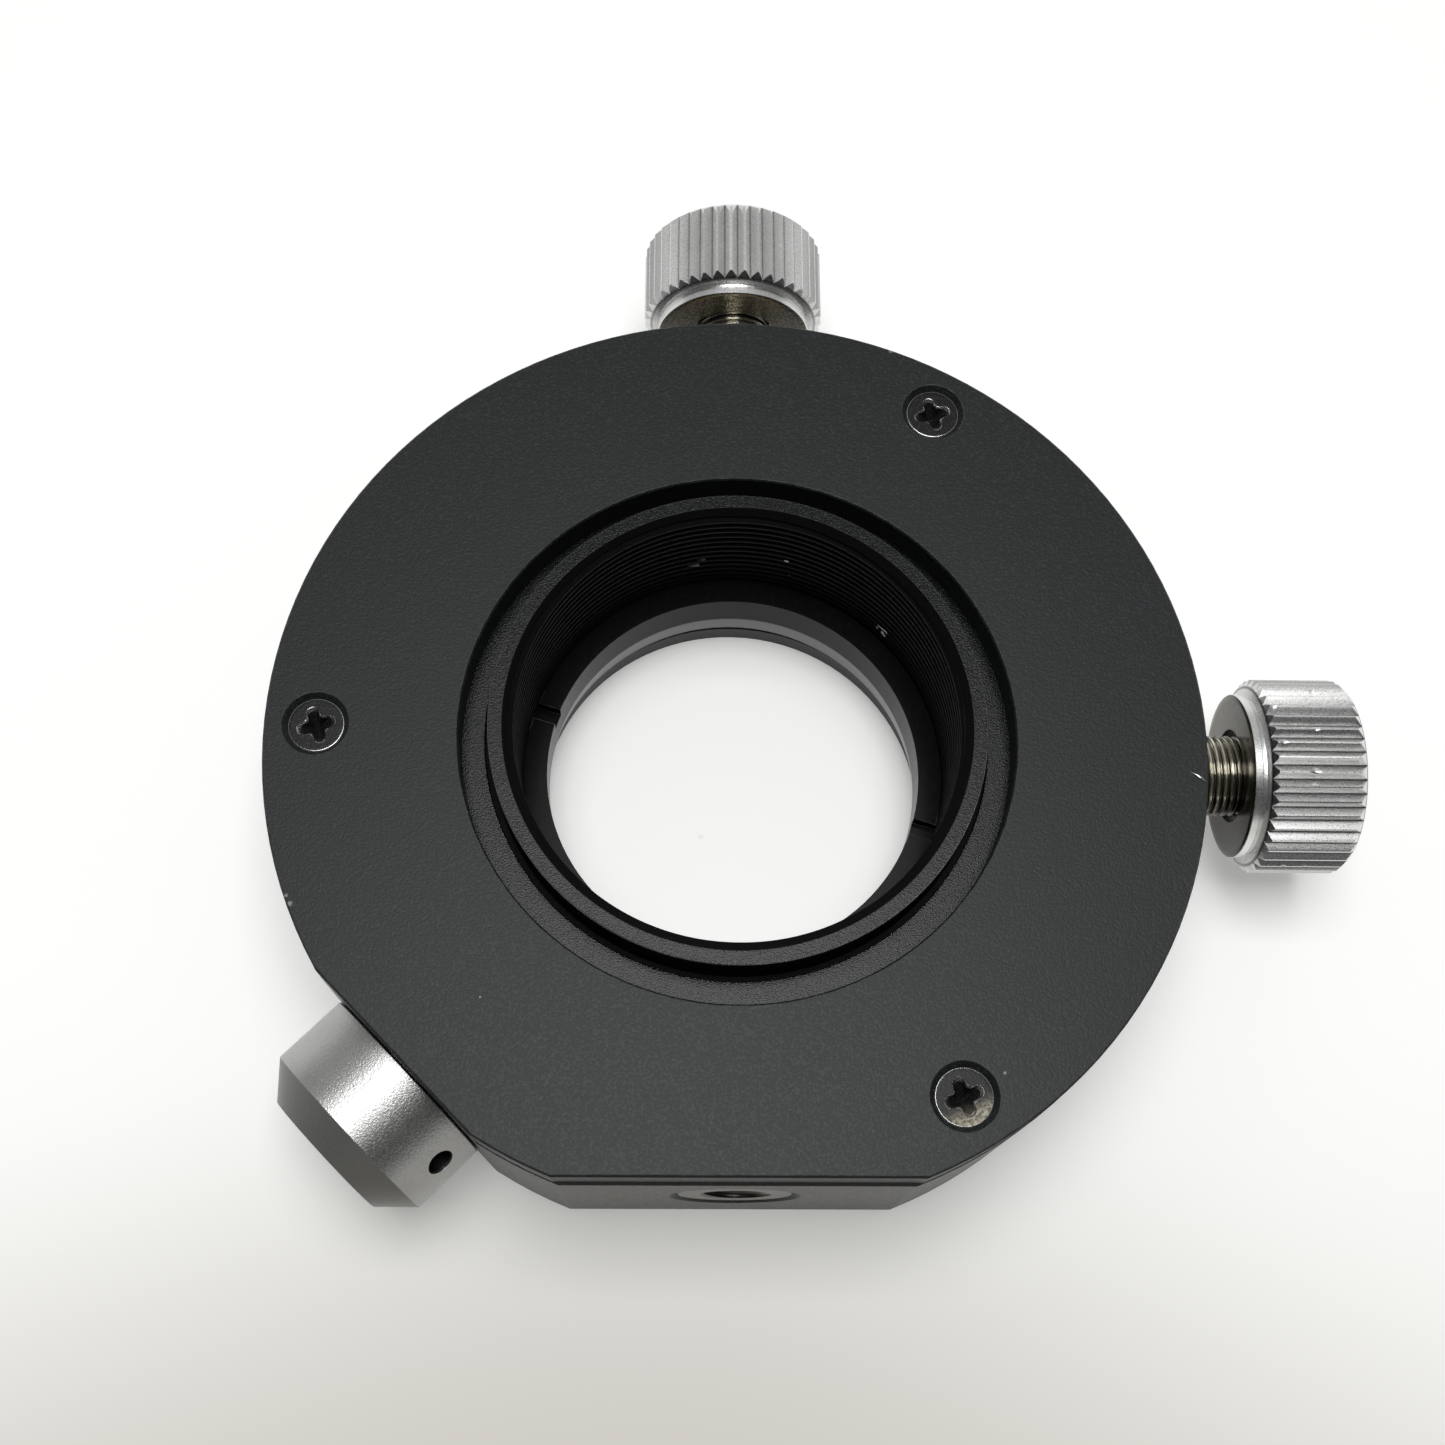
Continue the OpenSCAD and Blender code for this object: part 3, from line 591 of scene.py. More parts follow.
def ring_black():
    """The retaining ring, rubbed grey at the ends of its slots."""
    look = anodised("ring_black", (0.006, 0.0062, 0.007), roughness=0.22, specular=0.06, **TURNED_BLACK)
    slot_ends = look.largest([look.near(spot, SLOT_END_R, 0.2) for spot in SLOT_ENDS])
    look.paint(look.times(slot_ends, look.rubbed), SLOT_GREY)
    return look


def screw_black():
    """The cover screws. The lower edge of one is worn down to the metal."""
    look = anodised("screw_black", (0.006, 0.0063, 0.0063), roughness=0.38, specular=0.18,
                    grain_mm=0.1, grain_depth=0.012, edge_mm=0.03, edge_color=0.05)
    angle = math.radians(WORN_SCREW)
    middle = Vector((math.cos(angle), math.sin(angle), 0)) * SCREW_CIRCLE_R
    reach = look.vector("DOT_PRODUCT", look.point, WORN_WAY / MM)
    start = WORN_WAY.dot(middle)
    edge = look.ramp(reach, start + WORN_BEGINS, start + WORN_FULL)
    only = look.near((*middle.xy, TOTAL_T), WORN_R, 0.1)
    film = look.ramp(look.noise(0.2, 4.0, 0.75), 0.36, 0.6, 0.25, 1.0)
    worn = look.times(edge, only, film)
    look.bare(worn, WORN_METAL)
    look.vary("Roughness", worn, 0.38, 0.5)
    return look


# ------------------------------------------------------ bare metals

KNOB_COLOR, VALLEY_SHADE, KNOB_LOW_SHADE = (0.75, 0.757, 0.746), (0.09, 0.09, 0.088), (0.3, 0.3, 0.294)
FACE_LOW_SHADE = (0.055, 0.05, 0.04)
THREAD_COLOR, GREASE_AND_SHADE, THREAD_LOW_SHADE = (0.72, 0.69, 0.59), (0.06, 0.054, 0.04), (0.045, 0.04, 0.031)
CAP_COLOR, CAP_STAIN, CAP_SMUDGE = (0.43, 0.43, 0.423), (0.27, 0.27, 0.264), (0.3, 0.3, 0.294)
CAP_BEVEL_SHADE, CAP_HOLE_SHADE = (0.08, 0.08, 0.077), (0.05, 0.05, 0.05)
POST_HOLE_SHADE = (0.065, 0.06, 0.05)
# Radii between which painted shade thins out and ends; in the thread roots it is grease as well
VALLEY_SHADE_R, HUB_UNSHADED_R = (ROOT_R + 0.02, ROOT_R + 0.12), (ROOT_R - 0.16, ROOT_R - 0.04)
GREASE_AND_SHADE_R, POST_HOLE_SHADE_R = (SPINDLE_R - 0.21, SPINDLE_R - 0.07), (POST_R + 0.07, POST_R + 0.25)
CAP_HOLE_SHADE_R = (5.5, 5.68)


def knob_metal(name, direction, valley_shade):
    """Satin aluminium of a knob: brighter on the worn crests, with painted shade in the valleys and on the
    side that faces the table.
    """
    look = metal(name, KNOB_COLOR, 0.3, 0.1, 0.0012, spread=0.04, edge_mm=0.012)
    _, distance = look.about_axis(direction)
    valley = look.ramp(distance, *VALLEY_SHADE_R, 1.0, 0.0)
    side = look.ramp(distance, *HUB_UNSHADED_R)
    # Painted shade in the valleys between the teeth.
    look.paint(look.times(valley, side, valley_shade), VALLEY_SHADE)
    # Painted shade on the side that faces the table.
    look.paint(look.low_side_shade(0.4), KNOB_LOW_SHADE)
    return look


def turned_face(name, direction, color, roughness):
    """Near-mirror brownish turned face with fine rings, and painted shade on its side that faces the table.
    """
    look = metal(name, color, roughness, 0.1, 0.0008, edge_mm=0.04)
    _, distance = look.about_axis(direction)
    look.rings(distance, 0.06, 0.0012)
    look.shader.inputs["Anisotropic"].default_value = 0.7
    tangent = look.tree.nodes.new("ShaderNodeTangent")
    tangent.direction_type = "RADIAL"
    tangent.axis = "X" if direction == X_DIR else "Y"
    look.feed(look.shader.inputs["Tangent"], tangent.outputs[0])
    # Painted shade on the lower side of the face.
    look.paint(look.low_side_shade(0.85, 0.0, -3.5), FACE_LOW_SHADE)
    return look


def thread_metal(name, direction):
    """Steel thread with a warm tint: polished crests, grease and painted shade in the roots, and painted
    shade on the side that faces the table.
    """
    look = metal(name, THREAD_COLOR, 0.18, 0.1, 0.0015, edge_mm=0.02)
    _, distance = look.about_axis(direction)
    root = look.ramp(distance, *GREASE_AND_SHADE_R, 1.0, 0.0)
    # Grease and painted shade in the roots of the thread.
    look.paint(look.times(root, 0.7), GREASE_AND_SHADE)
    # Painted shade on the side that faces the table, broken up by noise.
    low_shade_breakup = look.ramp(look.noise(0.6, 3.0, 0.6), 0.3, 0.6, 0.85, 1.0)
    look.paint(look.times(look.low_side_shade(1.0, 1.9, 1.2), low_shade_breakup), THREAD_LOW_SHADE)
    return look


def blasted_cap():
    """Blasted aluminium of the plunger cap, with painted shade on its bevel and in its pin hole."""
    look = metal("blasted_cap", CAP_COLOR, 0.37, 0.12, 0.018, edge_mm=0.05)
    look.paint(look.ramp(look.noise(0.2, 2.0, 0.7), 0.5, 0.75, 0.0, 0.4), CAP_STAIN)
    look.paint(look.ramp(look.noise(2.2, 2.0, 0.6), 0.5, 0.75, 0.0, 0.2), CAP_SMUDGE)
    along, distance = look.about_axis(PLUNGER_DIR)
    bevel = look.ramp(along, CAP_BEVEL_AT - 0.03, CAP_BEVEL_AT + 0.03)
    # Painted shade on the bevel.
    look.paint(look.times(bevel, 0.85), CAP_BEVEL_SHADE)
    hole = look.ramp(distance, *CAP_HOLE_SHADE_R, 1.0, 0.0)
    # Painted shade in the pin hole.
    look.paint(look.times(hole, look.math("SUBTRACT", 1.0, bevel), 0.8), CAP_HOLE_SHADE)
    return look


def insert_steel():
    """Dull steel of the post insert, with painted shade in its hole."""
    look = metal("insert_steel", (0.126, 0.121, 0.107), 0.36, 0.14, 0.006)
    _, distance = look.about_axis(POST_DIR)
    # Painted shade in the hole.
    look.paint(look.ramp(distance, *POST_HOLE_SHADE_R, 0.85, 0.0), POST_HOLE_SHADE)
    return look


cover_look = cover_black()
housing_look = housing_black()
cell_look = anodised("cell_black", (0.0032, 0.0038, 0.0042), roughness=0.2, specular=0.19,
                     grain_mm=0.085, grain_depth=0.017)
cell_edge_look = metal("cell_edge", (0.2, 0.2, 0.2), 0.3, grain_depth=0.004)
bore_look = bore_black()
ring_look = ring_black()
seat_look = anodised("seat_black", (0.0034, 0.0034, 0.0037), roughness=0.16, specular=0.54, **TURNED_BLACK)
# The two knobs are alike: the stronger valley shade of the X knob, and its darker face against the lighter
# face of the Y knob, are painted shade and light.
knob_looks = {X_DIR: knob_metal("satin_x", X_DIR, 0.8), Y_DIR: knob_metal("satin_y", Y_DIR, 0.5)}
face_looks = {
    X_DIR: turned_face("face_x", X_DIR, (0.108, 0.102, 0.085), 0.17),
    Y_DIR: turned_face("face_y", Y_DIR, (0.42, 0.395, 0.335), 0.25),
}
thread_looks = {X_DIR: thread_metal("thread_x", X_DIR), Y_DIR: thread_metal("thread_y", Y_DIR)}
cap_look = blasted_cap()
steel_look = metal("ground_steel", (0.6, 0.6, 0.59), 0.22)
insert_look = insert_steel()
bronze_look = metal("bronze", (0.6, 0.42, 0.18), 0.28, grain_depth=0.002)
spring_look = metal("spring_wire", (0.5, 0.5, 0.48), 0.22, grain_mm=0.1)
screw_look = screw_black()
screw_edge_look = metal("screw_edge", (0.44, 0.44, 0.43), 0.24, grain_depth=0.004, edge_mm=0.02)

STEEL_NODES = ("floor_pins", "ring_pins", "x_pad", "y_pad", "spring_seat", "x_ball", "y_ball")
BRONZE_NODES = ("guide_ring", "x_bush", "y_bush")
CAD_LOOKS = {
    "housing": housing_look, "cover_plate": cover_look, "cover_screws": screw_look,
    "lens_cell": cell_look, "retaining_ring": ring_look, "post_insert": insert_look,
    "return_spring": spring_look, "plunger_cap": cap_look,
    "x_spindle": thread_looks[X_DIR], "y_spindle": thread_looks[Y_DIR],
    "x_knob": knob_looks[X_DIR], "y_knob": knob_looks[Y_DIR],
    **dict.fromkeys(STEEL_NODES, steel_look), **dict.fromkeys(BRONZE_NODES, bronze_look),
}
for node_name, look in CAD_LOOKS.items():
    mesh = nodes[node_name].data
    mesh.materials.clear()
    mesh.materials.append(look.mat)


# ------------------------------------------------------ knobs and spindles

FACE_RINGS, END_RINGS = (3.4, 4.0, 4.6), (5.3, 4.0, 2.0)    # radii that part the flat faces of a knob
SIDE_STEPS, RUN_OUT_STEPS, BEVEL_STEPS, FLANK_MARK = 48, 8, 4, 0.36
SPINDLE_AROUND, BALL_STEPS = 80, 9


def serration(turn, nicks, height, limit):
    """Radius of the serrated side of a knob at a height, as a function of the angle. Where the knob is
    turned down to a limit, the points of a crest spread to the flanks, which keeps the edges clean."""
    flank = (TOOTH - TOOTH_DROP) / (0.5 - TOOTH_SHOULDER)
    low = max(KNOB_R - TOOTH_DROP - limit, 0.0)
    cap = min(TOOTH_SHOULDER + low / flank, 0.5)

    def radius(angle):
        place = (angle - turn) / (2 * math.pi) * TEETH
        tooth = round(place)
        u = abs(place - tooth)              # 0 in the middle of a crest, 0.5 in the middle of a valley
        moved = u
        if u <= LAND:
            r = KNOB_R
        elif u <= TOOTH_SHOULDER:
            r = KNOB_R - TOOTH_DROP * (u - LAND) / (TOOTH_SHOULDER - LAND)
        else:
            moved = cap + (u - TOOTH_SHOULDER) / (0.5 - TOOTH_SHOULDER) * (0.5 - cap)
            r = KNOB_R - TOOTH_DROP - flank * (moved - TOOTH_SHOULDER)
        if low > 0 and u <= TOOTH_SHOULDER:
            moved = u / TOOTH_SHOULDER * cap
        for nick_tooth, nick_height, size, depth in nicks:
            if (tooth - nick_tooth) % TEETH == 0 and u < NICK_HALF:
                r -= depth * math.exp(-((height - nick_height) / size) ** 2) * (1 - u / NICK_HALF)
        return min(limit, r), turn + (tooth + math.copysign(moved, place - tooth)) * 2 * math.pi / TEETH
    return radius


def knob(name, direction, shift, turn, nicks, seed, body, node):
    """Knob with straight V serrations that run out towards the hub, and a few dings on their crests."""
    dice = random.Random(seed)
    nicks = nicks + [(dice.randrange(TEETH), dice.uniform(*DING_HEIGHTS), dice.uniform(*DING_LENGTHS),
                      dice.uniform(*DING_DEPTHS)) for _ in range(DINGS)]
    marks = (LAND, TOOTH_SHOULDER, NICK_HALF, FLANK_MARK)
    steps = (-0.5, *[-m for m in reversed(marks)], *marks)
    angles = [turn + 2 * math.pi * (i + u) / TEETH for i in range(TEETH) for u in steps]

    def row(height, limit):
        return height, serration(turn, nicks, height, limit), 0

    bore_end = KNOB_H - KNOB_END
    rows = [(bore_end, SHANK_R, 0), (SINK_H, SHANK_R, 0), (SINK_H, SINK_R, 1), (0.0, SINK_R, 1)]
    rows += [(0.0, r, 1) for r in FACE_RINGS]
    rows += [(height, HUB_R - inset, 0 if height > 0 else 1) for height, inset in HUB_EASE]
    start = HUB_H + NECK
    rows += [(RIM_H - RIM_EDGE, HUB_R, 0), (RIM_H, HUB_R - RIM_EDGE, 0), (RIM_H + RIM_STEP, GROOVE_R, 0),
             (HUB_H + NECK / 2, GROOVE_R, 0), (start, HUB_R, 0)]
    for i in range(RUN_OUT_STEPS + 1):
        share = i / RUN_OUT_STEPS
        rows.append(row(start + SHOULDER + (RUN_OUT - SHOULDER) * share, ROOT_R + (KNOB_R - ROOT_R) * share))
    side_end = KNOB_H - KNOB_BEVEL
    for i in range(1, SIDE_STEPS):
        rows.append(row(start + RUN_OUT + (side_end - start - RUN_OUT) * i / SIDE_STEPS, KNOB_R))
    for i in range(BEVEL_STEPS + 1):
        bevel = KNOB_BEVEL * i / BEVEL_STEPS
        rows.append(row(side_end + bevel, KNOB_R - bevel))
    rows += [(KNOB_H, r, 1) for r in END_RINGS]
    rows += [(KNOB_H, CENTRE, 0), (bore_end, CENTRE, 0)]
    place = outward(direction) @ Matrix.Translation((0, 0, (KNOB_AT + shift) * MM))
    obj = turned(name, rows, angles, [knob_looks[direction].mat, face_looks[direction].mat], place)
    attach(obj, body)
    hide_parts(node)


def spindle(name, direction, shift, turn, body, node):
    """Spindle with its fine thread, from the nose to the shank in the knob."""
    thread_at = NOSE_AT + NOSE_H
    shoulder_at = KNOB_AT + SINK_H
    end = KNOB_AT + KNOB_H - KNOB_END
    flank = [FINE_CREST / 2 + FINE_STEP * i for i in range(5)]
    stations = [0.0, *flank, 0.5, *[1 - f for f in reversed(flank)]]

    def side(height, angle):
        run_in = NOSE_R + (height - thread_at)
        cut_in = rounded_thread(height, angle, PITCH, THREAD_DEPTH, FINE_CREST, FINE_ROOT)
        return min(run_in, SPINDLE_R - cut_in)

    seat = math.sqrt(BALL_R ** 2 - (BALL_AT - NOSE_AT) ** 2)
    rows = [(NOSE_AT, seat, 0), (NOSE_AT, NOSE_R - SPINDLE_EDGE, 0), (NOSE_AT + SPINDLE_EDGE, NOSE_R, 0),
            (thread_at, lambda a: side(thread_at, a), None), (shoulder_at, lambda a: side(shoulder_at, a), 0),
            (shoulder_at, SHANK_R, 0), (end - SPINDLE_EDGE, SHANK_R, 0), (end, SHANK_R - SPINDLE_EDGE, 0),
            (end, CENTRE, 0), (BALL_AT + BALL_R, CENTRE, 0)]
    lowest = math.asin((NOSE_AT - BALL_AT) / BALL_R)
    for i in range(1, BALL_STEPS):
        a = math.pi / 2 + (lowest - math.pi / 2) * i / BALL_STEPS
        rows.append((BALL_AT + BALL_R * math.sin(a), BALL_R * math.cos(a), 0))
    band = thread_band(thread_at, shoulder_at, PITCH, stations, SPINDLE_AROUND, side, 0)
    place = outward(direction) @ Matrix.Translation((0, 0, shift * MM)) @ Matrix.Rotation(turn, 4, "Z")
    obj = turned(name, rows, even_angles(SPINDLE_AROUND), [thread_looks[direction].mat], place, [band])
    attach(obj, body)
    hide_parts(node)


knob("x_knob_serrated", X_DIR, 0.0, X_TURN, X_NICKS, X_SEED, "x_screw", "x_knob")
knob("y_knob_serrated", Y_DIR, CELL_Y, Y_TURN, [], Y_SEED, "y_screw", "y_knob")
spindle("x_spindle_threaded", X_DIR, 0.0, X_TURN, "x_screw", "x_spindle")
spindle("y_spindle_threaded", Y_DIR, CELL_Y, Y_TURN, "y_screw", "y_spindle")


# ------------------------------------------------------ lens cell

CELL_AROUND = 256


def cell_cutters(shift):
    """Cutters for the pockets of the pads, the flat and the hole of the spring seat, and the slots."""
    cutters = []
    for direction in (X_DIR, Y_DIR):
        turn = shift @ Matrix.Rotation(math.radians(direction), 4, "Z")
        low = (PAD_IN, -PAD_HALF, AXIS_Z - PAD_H / 2)
        cutters.append(block(low, (CUT_R, PAD_HALF, AXIS_Z + PAD_H / 2), turn))
    to_plunger = shift @ Matrix.Rotation(math.radians(PLUNGER_DIR), 4, "Z")
    low = (SEAT_FLAT, -CUT_HALF, FLANGE_Z - CUT_OVER)
    cutters.append(block(low, (CUT_R, CUT_HALF, FLANGE_TOP + CUT_OVER), to_plunger))
    cutters.append(rod(SEAT_FLAT - STEM_H, CUT_R, STEM_R, shift @ outward(PLUNGER_DIR)))
    reach = SLOT_HALF - SLOT_R
    for side in (-1, 1):
        slot = rod(FLANGE_Z - CUT_OVER, FLANGE_Z + SLOT_DEPTH, SLOT_R)
        for v in slot.data.vertices:
            v.co.y += (CELL_Y + side * PIN_AT + (reach if v.co.y > 0 else -reach)) * MM
        cutters.append(slot)
    return cutters


def lens_cell():
    """The floating cell, with the lens thread in its bore and the pockets and slots of its mechanism."""
    def wall(height, angle):
        mouth = BORE_R + MOUTH - (COLLAR_TOP - height)
        return max(mouth, BORE_R + thread_shape(height, angle, LENS_PITCH, LENS_THREAD, V_CREST, V_ROOT))

    groove_r, groove_floor = COLLAR_R + GROOVE, FLANGE_TOP - GROOVE
    undercut_r = BORE_R + RING_THREAD + UNDERCUT
    # Material slots: 0 the faces, 1 the bore and other dark walls, 2 the seat, 3 rubbed edges
    rows = [(CELL_Z, SEAT_R + FLARE, 0), (CELL_Z, TUBE_R - CORNER, 0), (CELL_Z + CORNER, TUBE_R, 0),
            (FLANGE_Z, TUBE_R, 0), (FLANGE_Z, FLANGE_R - CORNER, 0), (FLANGE_Z + CORNER, FLANGE_R, 0),
            (FLANGE_TOP - TOP_CORNER, FLANGE_R, 0), (FLANGE_TOP, FLANGE_R - TOP_CORNER, 0),
            (FLANGE_TOP, FLANGE_MID_R, 0), (FLANGE_TOP, groove_r + GROOVE_EDGE, 3),
            (FLANGE_TOP - GROOVE_EDGE, groove_r, 1), (groove_floor, groove_r, 1), (groove_floor, COLLAR_R, 1),
            (COLLAR_TOP - COLLAR_EDGE, COLLAR_R, 3), (COLLAR_TOP, COLLAR_R - COLLAR_EDGE, 0),
            (COLLAR_TOP, COLLAR_MID_R, 0), (COLLAR_TOP, lambda a: wall(COLLAR_TOP, a), None),
            (RING_TOP, lambda a: wall(RING_TOP, a), 1), (RING_TOP, undercut_r, 1), (SEAT_Z, undercut_r, 2),
            (SEAT_Z, SEAT_R, 2), (SEAT_Z - CORNER, SEAT_R, 2)]
    band = thread_band(RING_TOP, COLLAR_TOP, LENS_PITCH, V_STATIONS, CELL_AROUND, wall, 1)
    shift = Matrix.Translation((0, CELL_Y * MM, 0))
    obj = turned("lens_cell_threaded", rows, even_angles(CELL_AROUND),
                 [cell_look.mat, bore_look.mat, seat_look.mat, cell_edge_look.mat], shift, [band])
    cut(obj, cell_cutters(shift))
    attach(obj, "cell_body")
    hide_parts("lens_cell")


lens_cell()


# ------------------------------------------------------ post insert

INSERT_AROUND = 96


def post_insert():
    """Steel insert with the thread of the post."""
    def wall(height, angle):
        mouth = POST_R + POST_MOUTH - (INSERT_OUT - height)
        return max(mouth, POST_R + thread_shape(height, angle, POST_PITCH, POST_DEPTH, V_CREST, V_ROOT))

    rows = [(INSERT_IN, lambda a: wall(INSERT_IN, a), 0), (INSERT_IN, INSERT_R - INSERT_EDGE, 0),
            (INSERT_IN + INSERT_EDGE, INSERT_R, 0), (INSERT_OUT - INSERT_EDGE, INSERT_R, 0),
            (INSERT_OUT, INSERT_R - INSERT_EDGE, 0), (INSERT_OUT, INSERT_MID_R, 0),
            (INSERT_OUT, lambda a: wall(INSERT_OUT, a), None)]
    band = thread_band(INSERT_IN, INSERT_OUT, POST_PITCH, V_STATIONS, INSERT_AROUND, wall, 0)
    obj = turned("post_insert_threaded", rows, even_angles(INSERT_AROUND), [insert_look.mat],
                 outward(POST_DIR), [band])
    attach(obj, "housing_body")
    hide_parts("post_insert")


post_insert()


# ------------------------------------------------------ cover screws

SCREW_AROUND, RECESS_STEPS = 96, 8


def cross(depth, grow=0.0):
    """Outline of the cross recess at a depth: four tapering arms with round ends, and eased corners."""
    share = depth / RECESS_DEPTH
    reach = RECESS_R * (1 - share) ** 0.9
    half = RECESS_W * (1 - 0.45 * share)
    core = RECESS_CORE * (1 - share) ** 0.6

    def radius(angle):
        u = abs((angle + math.pi / 4) % (math.pi / 2) - math.pi / 4)
        centre = max(reach - half, 0.0)
        if math.tan(u) * centre < half:         # round end of the arm
            arm = centre * math.cos(u) + math.sqrt(max(half ** 2 - (centre * math.sin(u)) ** 2, 0.0))
        else:
            arm = half / math.sin(u)
        return max(CENTRE, (arm ** 5 + core ** 5) ** 0.2 + grow)
    return radius


def cover_screw(direction, turn):
    """One flat-headed screw, with a deep cross recess. Its rows start at the face of the head."""
    tip = SCREW_SINK - COVER_T - SCREW_REACH
    rows = [(0.0, cross(0.0, RECESS_EASE + RECESS_START), 0), (0.0, cross(0.0, RECESS_EASE), 1),
            (-0.3 * RECESS_EASE, cross(0.0, 0.45 * RECESS_EASE), 1), (-RECESS_EASE, cross(0.0), 0)]
    depths = [RECESS_DEPTH * i / RECESS_STEPS for i in range(1, RECESS_STEPS)]
    rows += [(-depth, cross(depth), 0) for depth in depths]
    rows += [(-RECESS_DEPTH, CENTRE, 0), (tip, CENTRE, 0), (tip, SCREW_SHANK_R, 0),
             (SCREW_SHANK_R - HEAD_R, SCREW_SHANK_R, 0)]
    rows += [(-depth, HEAD_R - inset, 1 if depth > 0 else 0) for depth, inset in HEAD_EDGE]
    rows.append((0.0, HEAD_MID_R, 0))
    place = (Matrix.Rotation(math.radians(direction), 4, "Z")
             @ Matrix.Translation((SCREW_CIRCLE_R * MM, 0, (TOTAL_T - SCREW_SINK) * MM))
             @ Matrix.Rotation(math.radians(turn), 4, "Z"))
    looks = [screw_look.mat, screw_edge_look.mat]
    return turned("cover_screws_cross", rows, even_angles(SCREW_AROUND), looks, place)


def cover_screws():
    """The three screws, joined in one piece like the CAD node."""
    screws = [cover_screw(direction, turn) for direction, turn in SCREW_TURNS.items()]
    joined = screws[0]
    work = bmesh.new()
    for screw in screws:
        work.from_mesh(screw.data)
    work.to_mesh(joined.data)
    work.free()
    for screw in screws[1:]:
        bpy.data.objects.remove(screw)
    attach(joined, "housing_body")
    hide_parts("cover_screws")


cover_screws()


# ------------------------------------------------------ burr

BURR_STEPS, BURR_SIDES, BURR_EASINGS = 24, 8, 3


def burr():
    """A small curl of bare metal on the cover, next to the X spindle."""
    points = []
    for i in range(BURR_STEPS + 1):
        place = i / BURR_STEPS * (len(BURR) - 1)
        k = min(int(place), len(BURR) - 2)
        points.append(Vector(BURR[k]).lerp(Vector(BURR[k + 1]), place - k))
    for _ in range(BURR_EASINGS):
        eased = [(a + b * 2 + c) / 4 for a, b, c in zip(points, points[1:], points[2:])]
        points = [points[0], *eased, points[-1]]
    verts, faces = [], []
    for i, p in enumerate(points):
        way = (points[min(i + 1, BURR_STEPS)] - points[max(i - 1, 0)]).normalized()
        across = way.cross(Vector((0, 0, 1))).normalized()
        up = across.cross(way)
        r = BURR_TIP + BURR_BODY * math.sin(math.pi * (i / BURR_STEPS) ** 1.4)
        for a in even_angles(BURR_SIDES):
            verts.append(tuple(p + across * (r * BURR_FLAT * math.cos(a)) + up * (r * math.sin(a))))
    for i in range(BURR_STEPS):
        low, high = i * BURR_SIDES, (i + 1) * BURR_SIDES
        for j in range(BURR_SIDES):
            k = (j + 1) % BURR_SIDES
            faces.append((low + j, low + k, high + k, high + j))
    last = BURR_STEPS * BURR_SIDES
    faces += [tuple(range(BURR_SIDES)), tuple(range(last, last + BURR_SIDES))]
    obj = make_object("cover_burr", verts, faces, [steel_look.mat])
    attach(obj, "housing_body")


burr()


# ------------------------------------------------------ floor, in metres

PAPER, CREAM_SHADE, SHADE = (0.88, 0.882, 0.87), (0.61, 0.597, 0.553), (0.51, 0.495, 0.447)
FLOOR_SIZE, FLOOR_GAP = 3.0, 0.00003    # the gap keeps the floor and the rear face from being one plane
FLOOR_LIFT = 0.3                        # how much the floor adds to what it gives back, for the eye alone
LIFT_NEAR, LIFT_FAR = 0.14, 0.7         # distances between which the floor fades into the white backdrop
CREAM_SHADE_NEAR, CREAM_SHADE_FAR = 0.12, 0.4       # distances between which the creamy painted shade ends
CREAM_SHADE_BEGINS, CREAM_SHADE_FULL = -0.008, -0.075       # places in Y between which it grows towards the front
SHADE_AT, SHADE_IN, SHADE_OUT, SHADE_LONG = (-0.008, -0.062), 0.03, 0.078, 1.6
FLECK_AT, FLECK_R, FLECK_GREY = (-1.85, -1.86, 0), 0.2, (0.5, 0.5, 0.48)        # in millimetres


def floor():
    """White paper with painted shade: creamier and darker towards the front of the table, and a painted
    shadow patch in front of the object.
    """
    look = Look("floor_paper", PAPER, 0.0, 0.9, 0.0)
    x, y, _ = look.coordinates()
    away = look.vector("DISTANCE", look.point, (0, 0, 0))
    local = look.ramp(away, CREAM_SHADE_NEAR, CREAM_SHADE_FAR, 1.0, 0.0)
    # Painted shade: the paper darker and creamier towards the front.
    look.paint(look.times(look.ramp(y, CREAM_SHADE_BEGINS, CREAM_SHADE_FULL), local), CREAM_SHADE)
    # Painted shadow: a soft darker patch in front of the object.
    x = look.math("SUBTRACT", x, SHADE_AT[0])
    y = look.times(look.math("SUBTRACT", y, SHADE_AT[1]), SHADE_LONG)
    off = look.math("SQRT", look.math("ADD", look.times(x, x), look.times(y, y)))
    look.paint(look.ramp(off, SHADE_IN, SHADE_OUT, 0.8, 0.0), SHADE)
    look.paint(look.times(look.near(FLECK_AT, FLECK_R), 0.25), FLECK_GREY)
    look.bump(look.noise(0.5, 3.0), 0.004)
    lift = look.tree.nodes.new("ShaderNodeEmission")
    look.feed(lift.inputs["Color"], look.color)
    strength = look.ramp(away, LIFT_NEAR, LIFT_FAR, FLOOR_LIFT, 1.0)
    look.feed(lift.inputs["Strength"], look.times(seen_by_eye(look.tree), strength))
    both = look.tree.nodes.new("ShaderNodeAddShader")
    look.feed(both.inputs[0], look.shader.outputs[0])
    look.feed(both.inputs[1], lift.outputs[0])
    look.feed(look.out.inputs["Surface"], both.outputs[0])
    h, z = FLOOR_SIZE / 2, -FLOOR_GAP
    mesh = bpy.data.meshes.new("floor")
    mesh.from_pydata([(-h, -h, z), (h, -h, z), (h, h, z), (-h, h, z)], [], [(0, 1, 2, 3)])
    mesh.materials.append(look.mat)
    into_scene("floor", mesh)


floor()


# ------------------------------------------------------ world, lamp and camera, in metres

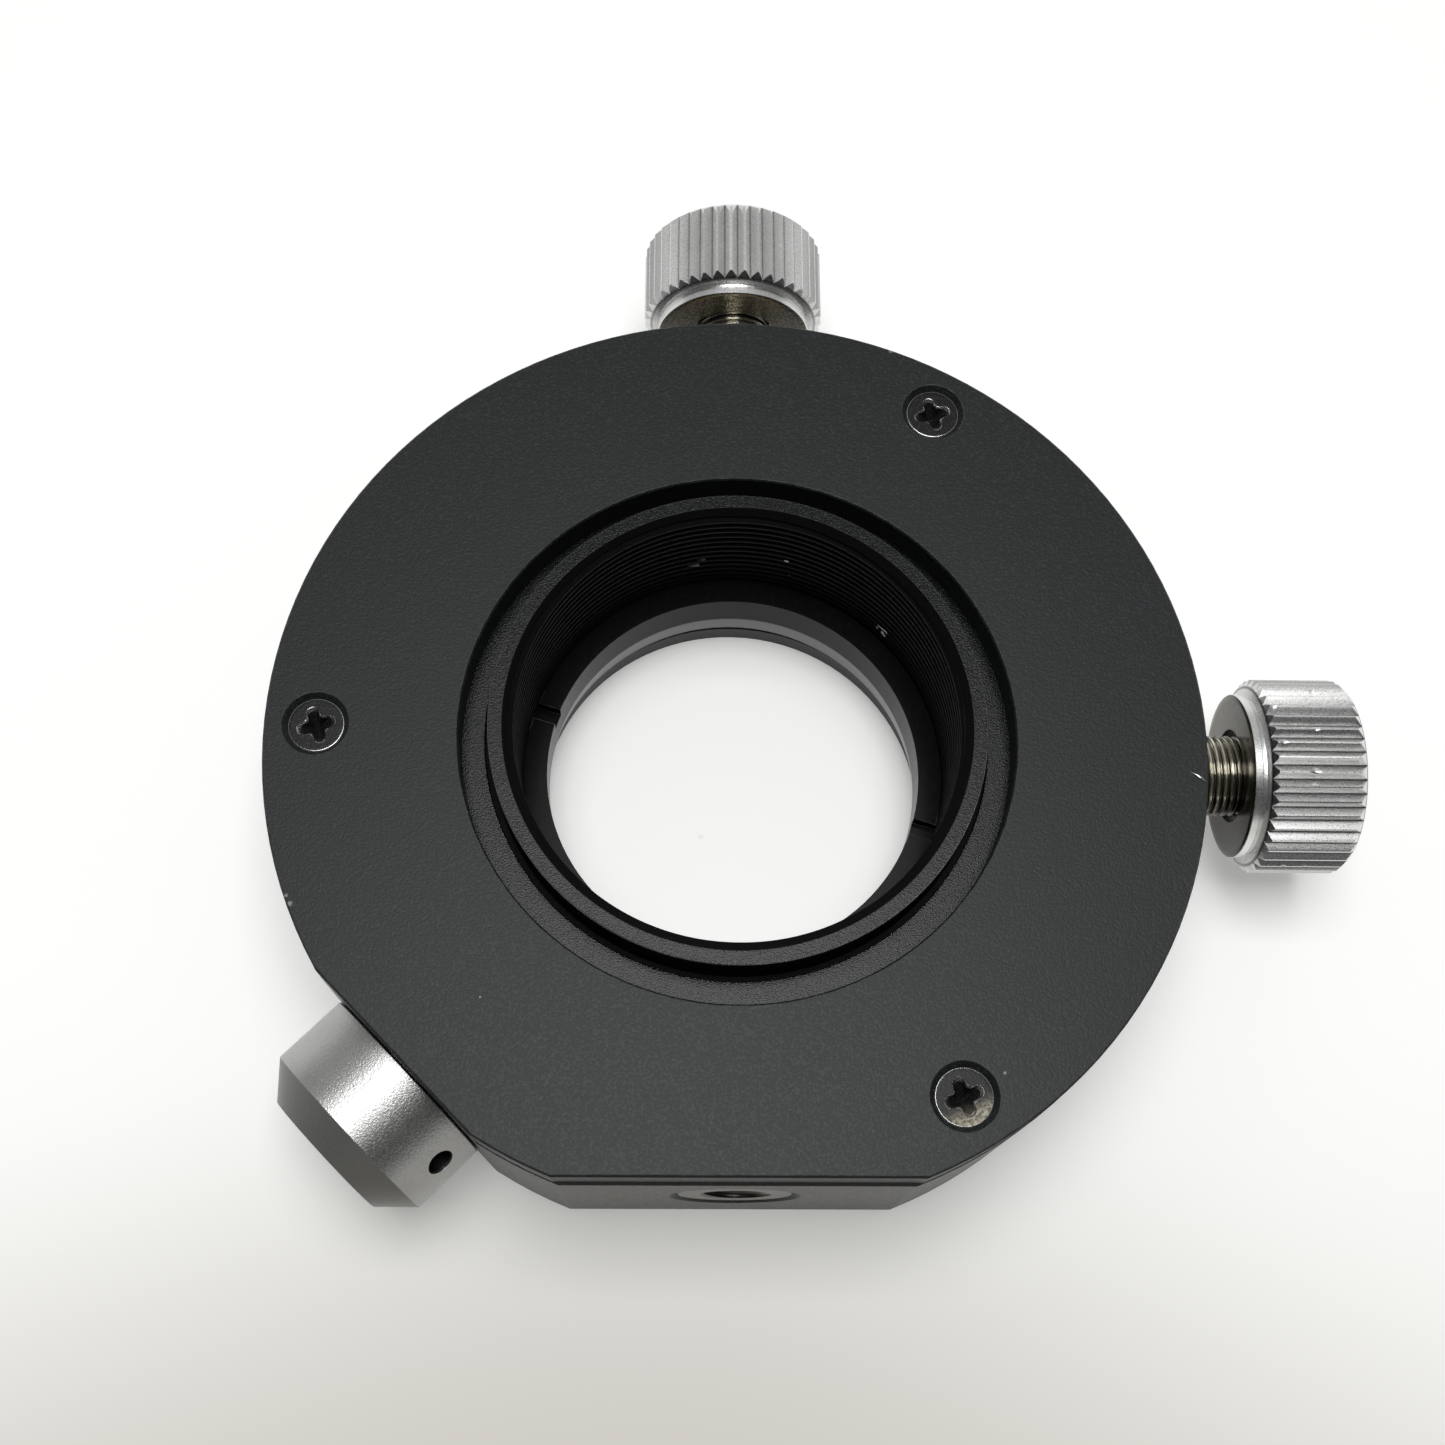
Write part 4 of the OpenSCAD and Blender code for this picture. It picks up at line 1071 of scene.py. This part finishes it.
SKY_FRONT, SKY_BACK = 0.075, 0.54           # light from the room in front (-Y) and behind (+Y)
SKY_FROM, SKY_TO = -0.2, 0.85               # places on the unit sphere between which it grows
BACKDROP_FULL, BACKDROP_END = 0.07, 0.2     # heights on it between which the white backdrop ends
LAMP_AT, LAMP_SIZE, LAMP_WATTS = (0.0, 0.025, 0.6), 0.32, 2.5
CAMERA_AT = (-0.003671, -0.035448, 0.110227)
CAMERA_TURN = (20.6109, -1.66979, 0.0061)   # degrees, fitted to the outlines in the photograph
CAMERA_LENS, CAMERA_SENSOR, CAMERA_NEAR = 44.507, 36.0, 0.005


def world():
    """A dim even room, with a white backdrop low behind the object."""
    room = bpy.data.worlds.new("studio")
    room.use_nodes = True
    bpy.context.scene.world = room
    tree = room.node_tree
    tree.nodes.clear()
    split = tree.nodes.new("ShaderNodeSeparateXYZ")
    feed(tree, split.inputs[0], tree.nodes.new("ShaderNodeTexCoord").outputs["Generated"])
    _, y, z = split.outputs
    sky = tree.nodes.new("ShaderNodeBackground")
    backdrop = tree.nodes.new("ShaderNodeBackground")
    for shade in (sky, backdrop):
        shade.inputs["Color"].default_value = (1, 1, 1, 1)
    feed(tree, sky.inputs["Strength"], smooth_step(tree, y, SKY_FROM, SKY_TO, SKY_FRONT, SKY_BACK))
    backdrop.inputs["Strength"].default_value = 1.0
    low = smooth_step(tree, z, BACKDROP_FULL, BACKDROP_END, 1.0, 0.0)
    mix = tree.nodes.new("ShaderNodeMixShader")
    feed(tree, mix.inputs[0], calculate(tree, "MULTIPLY", seen_by_eye(tree), low))
    feed(tree, mix.inputs[1], sky.outputs[0])
    feed(tree, mix.inputs[2], backdrop.outputs[0])
    out = tree.nodes.new("ShaderNodeOutputWorld")
    feed(tree, out.inputs["Surface"], mix.outputs[0])


def lamp():
    """One square lamp above the object, aimed at the origin."""
    data = bpy.data.lights.new("overhead", "AREA")
    data.shape = "SQUARE"
    data.size = LAMP_SIZE
    data.energy = LAMP_WATTS
    obj = into_scene("overhead", data)
    obj.location = LAMP_AT
    obj.rotation_euler = (Vector() - Vector(LAMP_AT)).to_track_quat("-Z", "Y").to_euler()


def camera():
    """The camera of the photograph."""
    data = bpy.data.cameras.new("camera")
    data.lens = CAMERA_LENS
    data.sensor_width = CAMERA_SENSOR
    data.clip_start = CAMERA_NEAR
    obj = into_scene("camera", data)
    obj.location = CAMERA_AT
    obj.rotation_euler = [math.radians(a) for a in CAMERA_TURN]
    return obj


world()
lamp()
bpy.context.scene.camera = camera()
bpy.context.scene.view_settings.view_transform = "Standard"
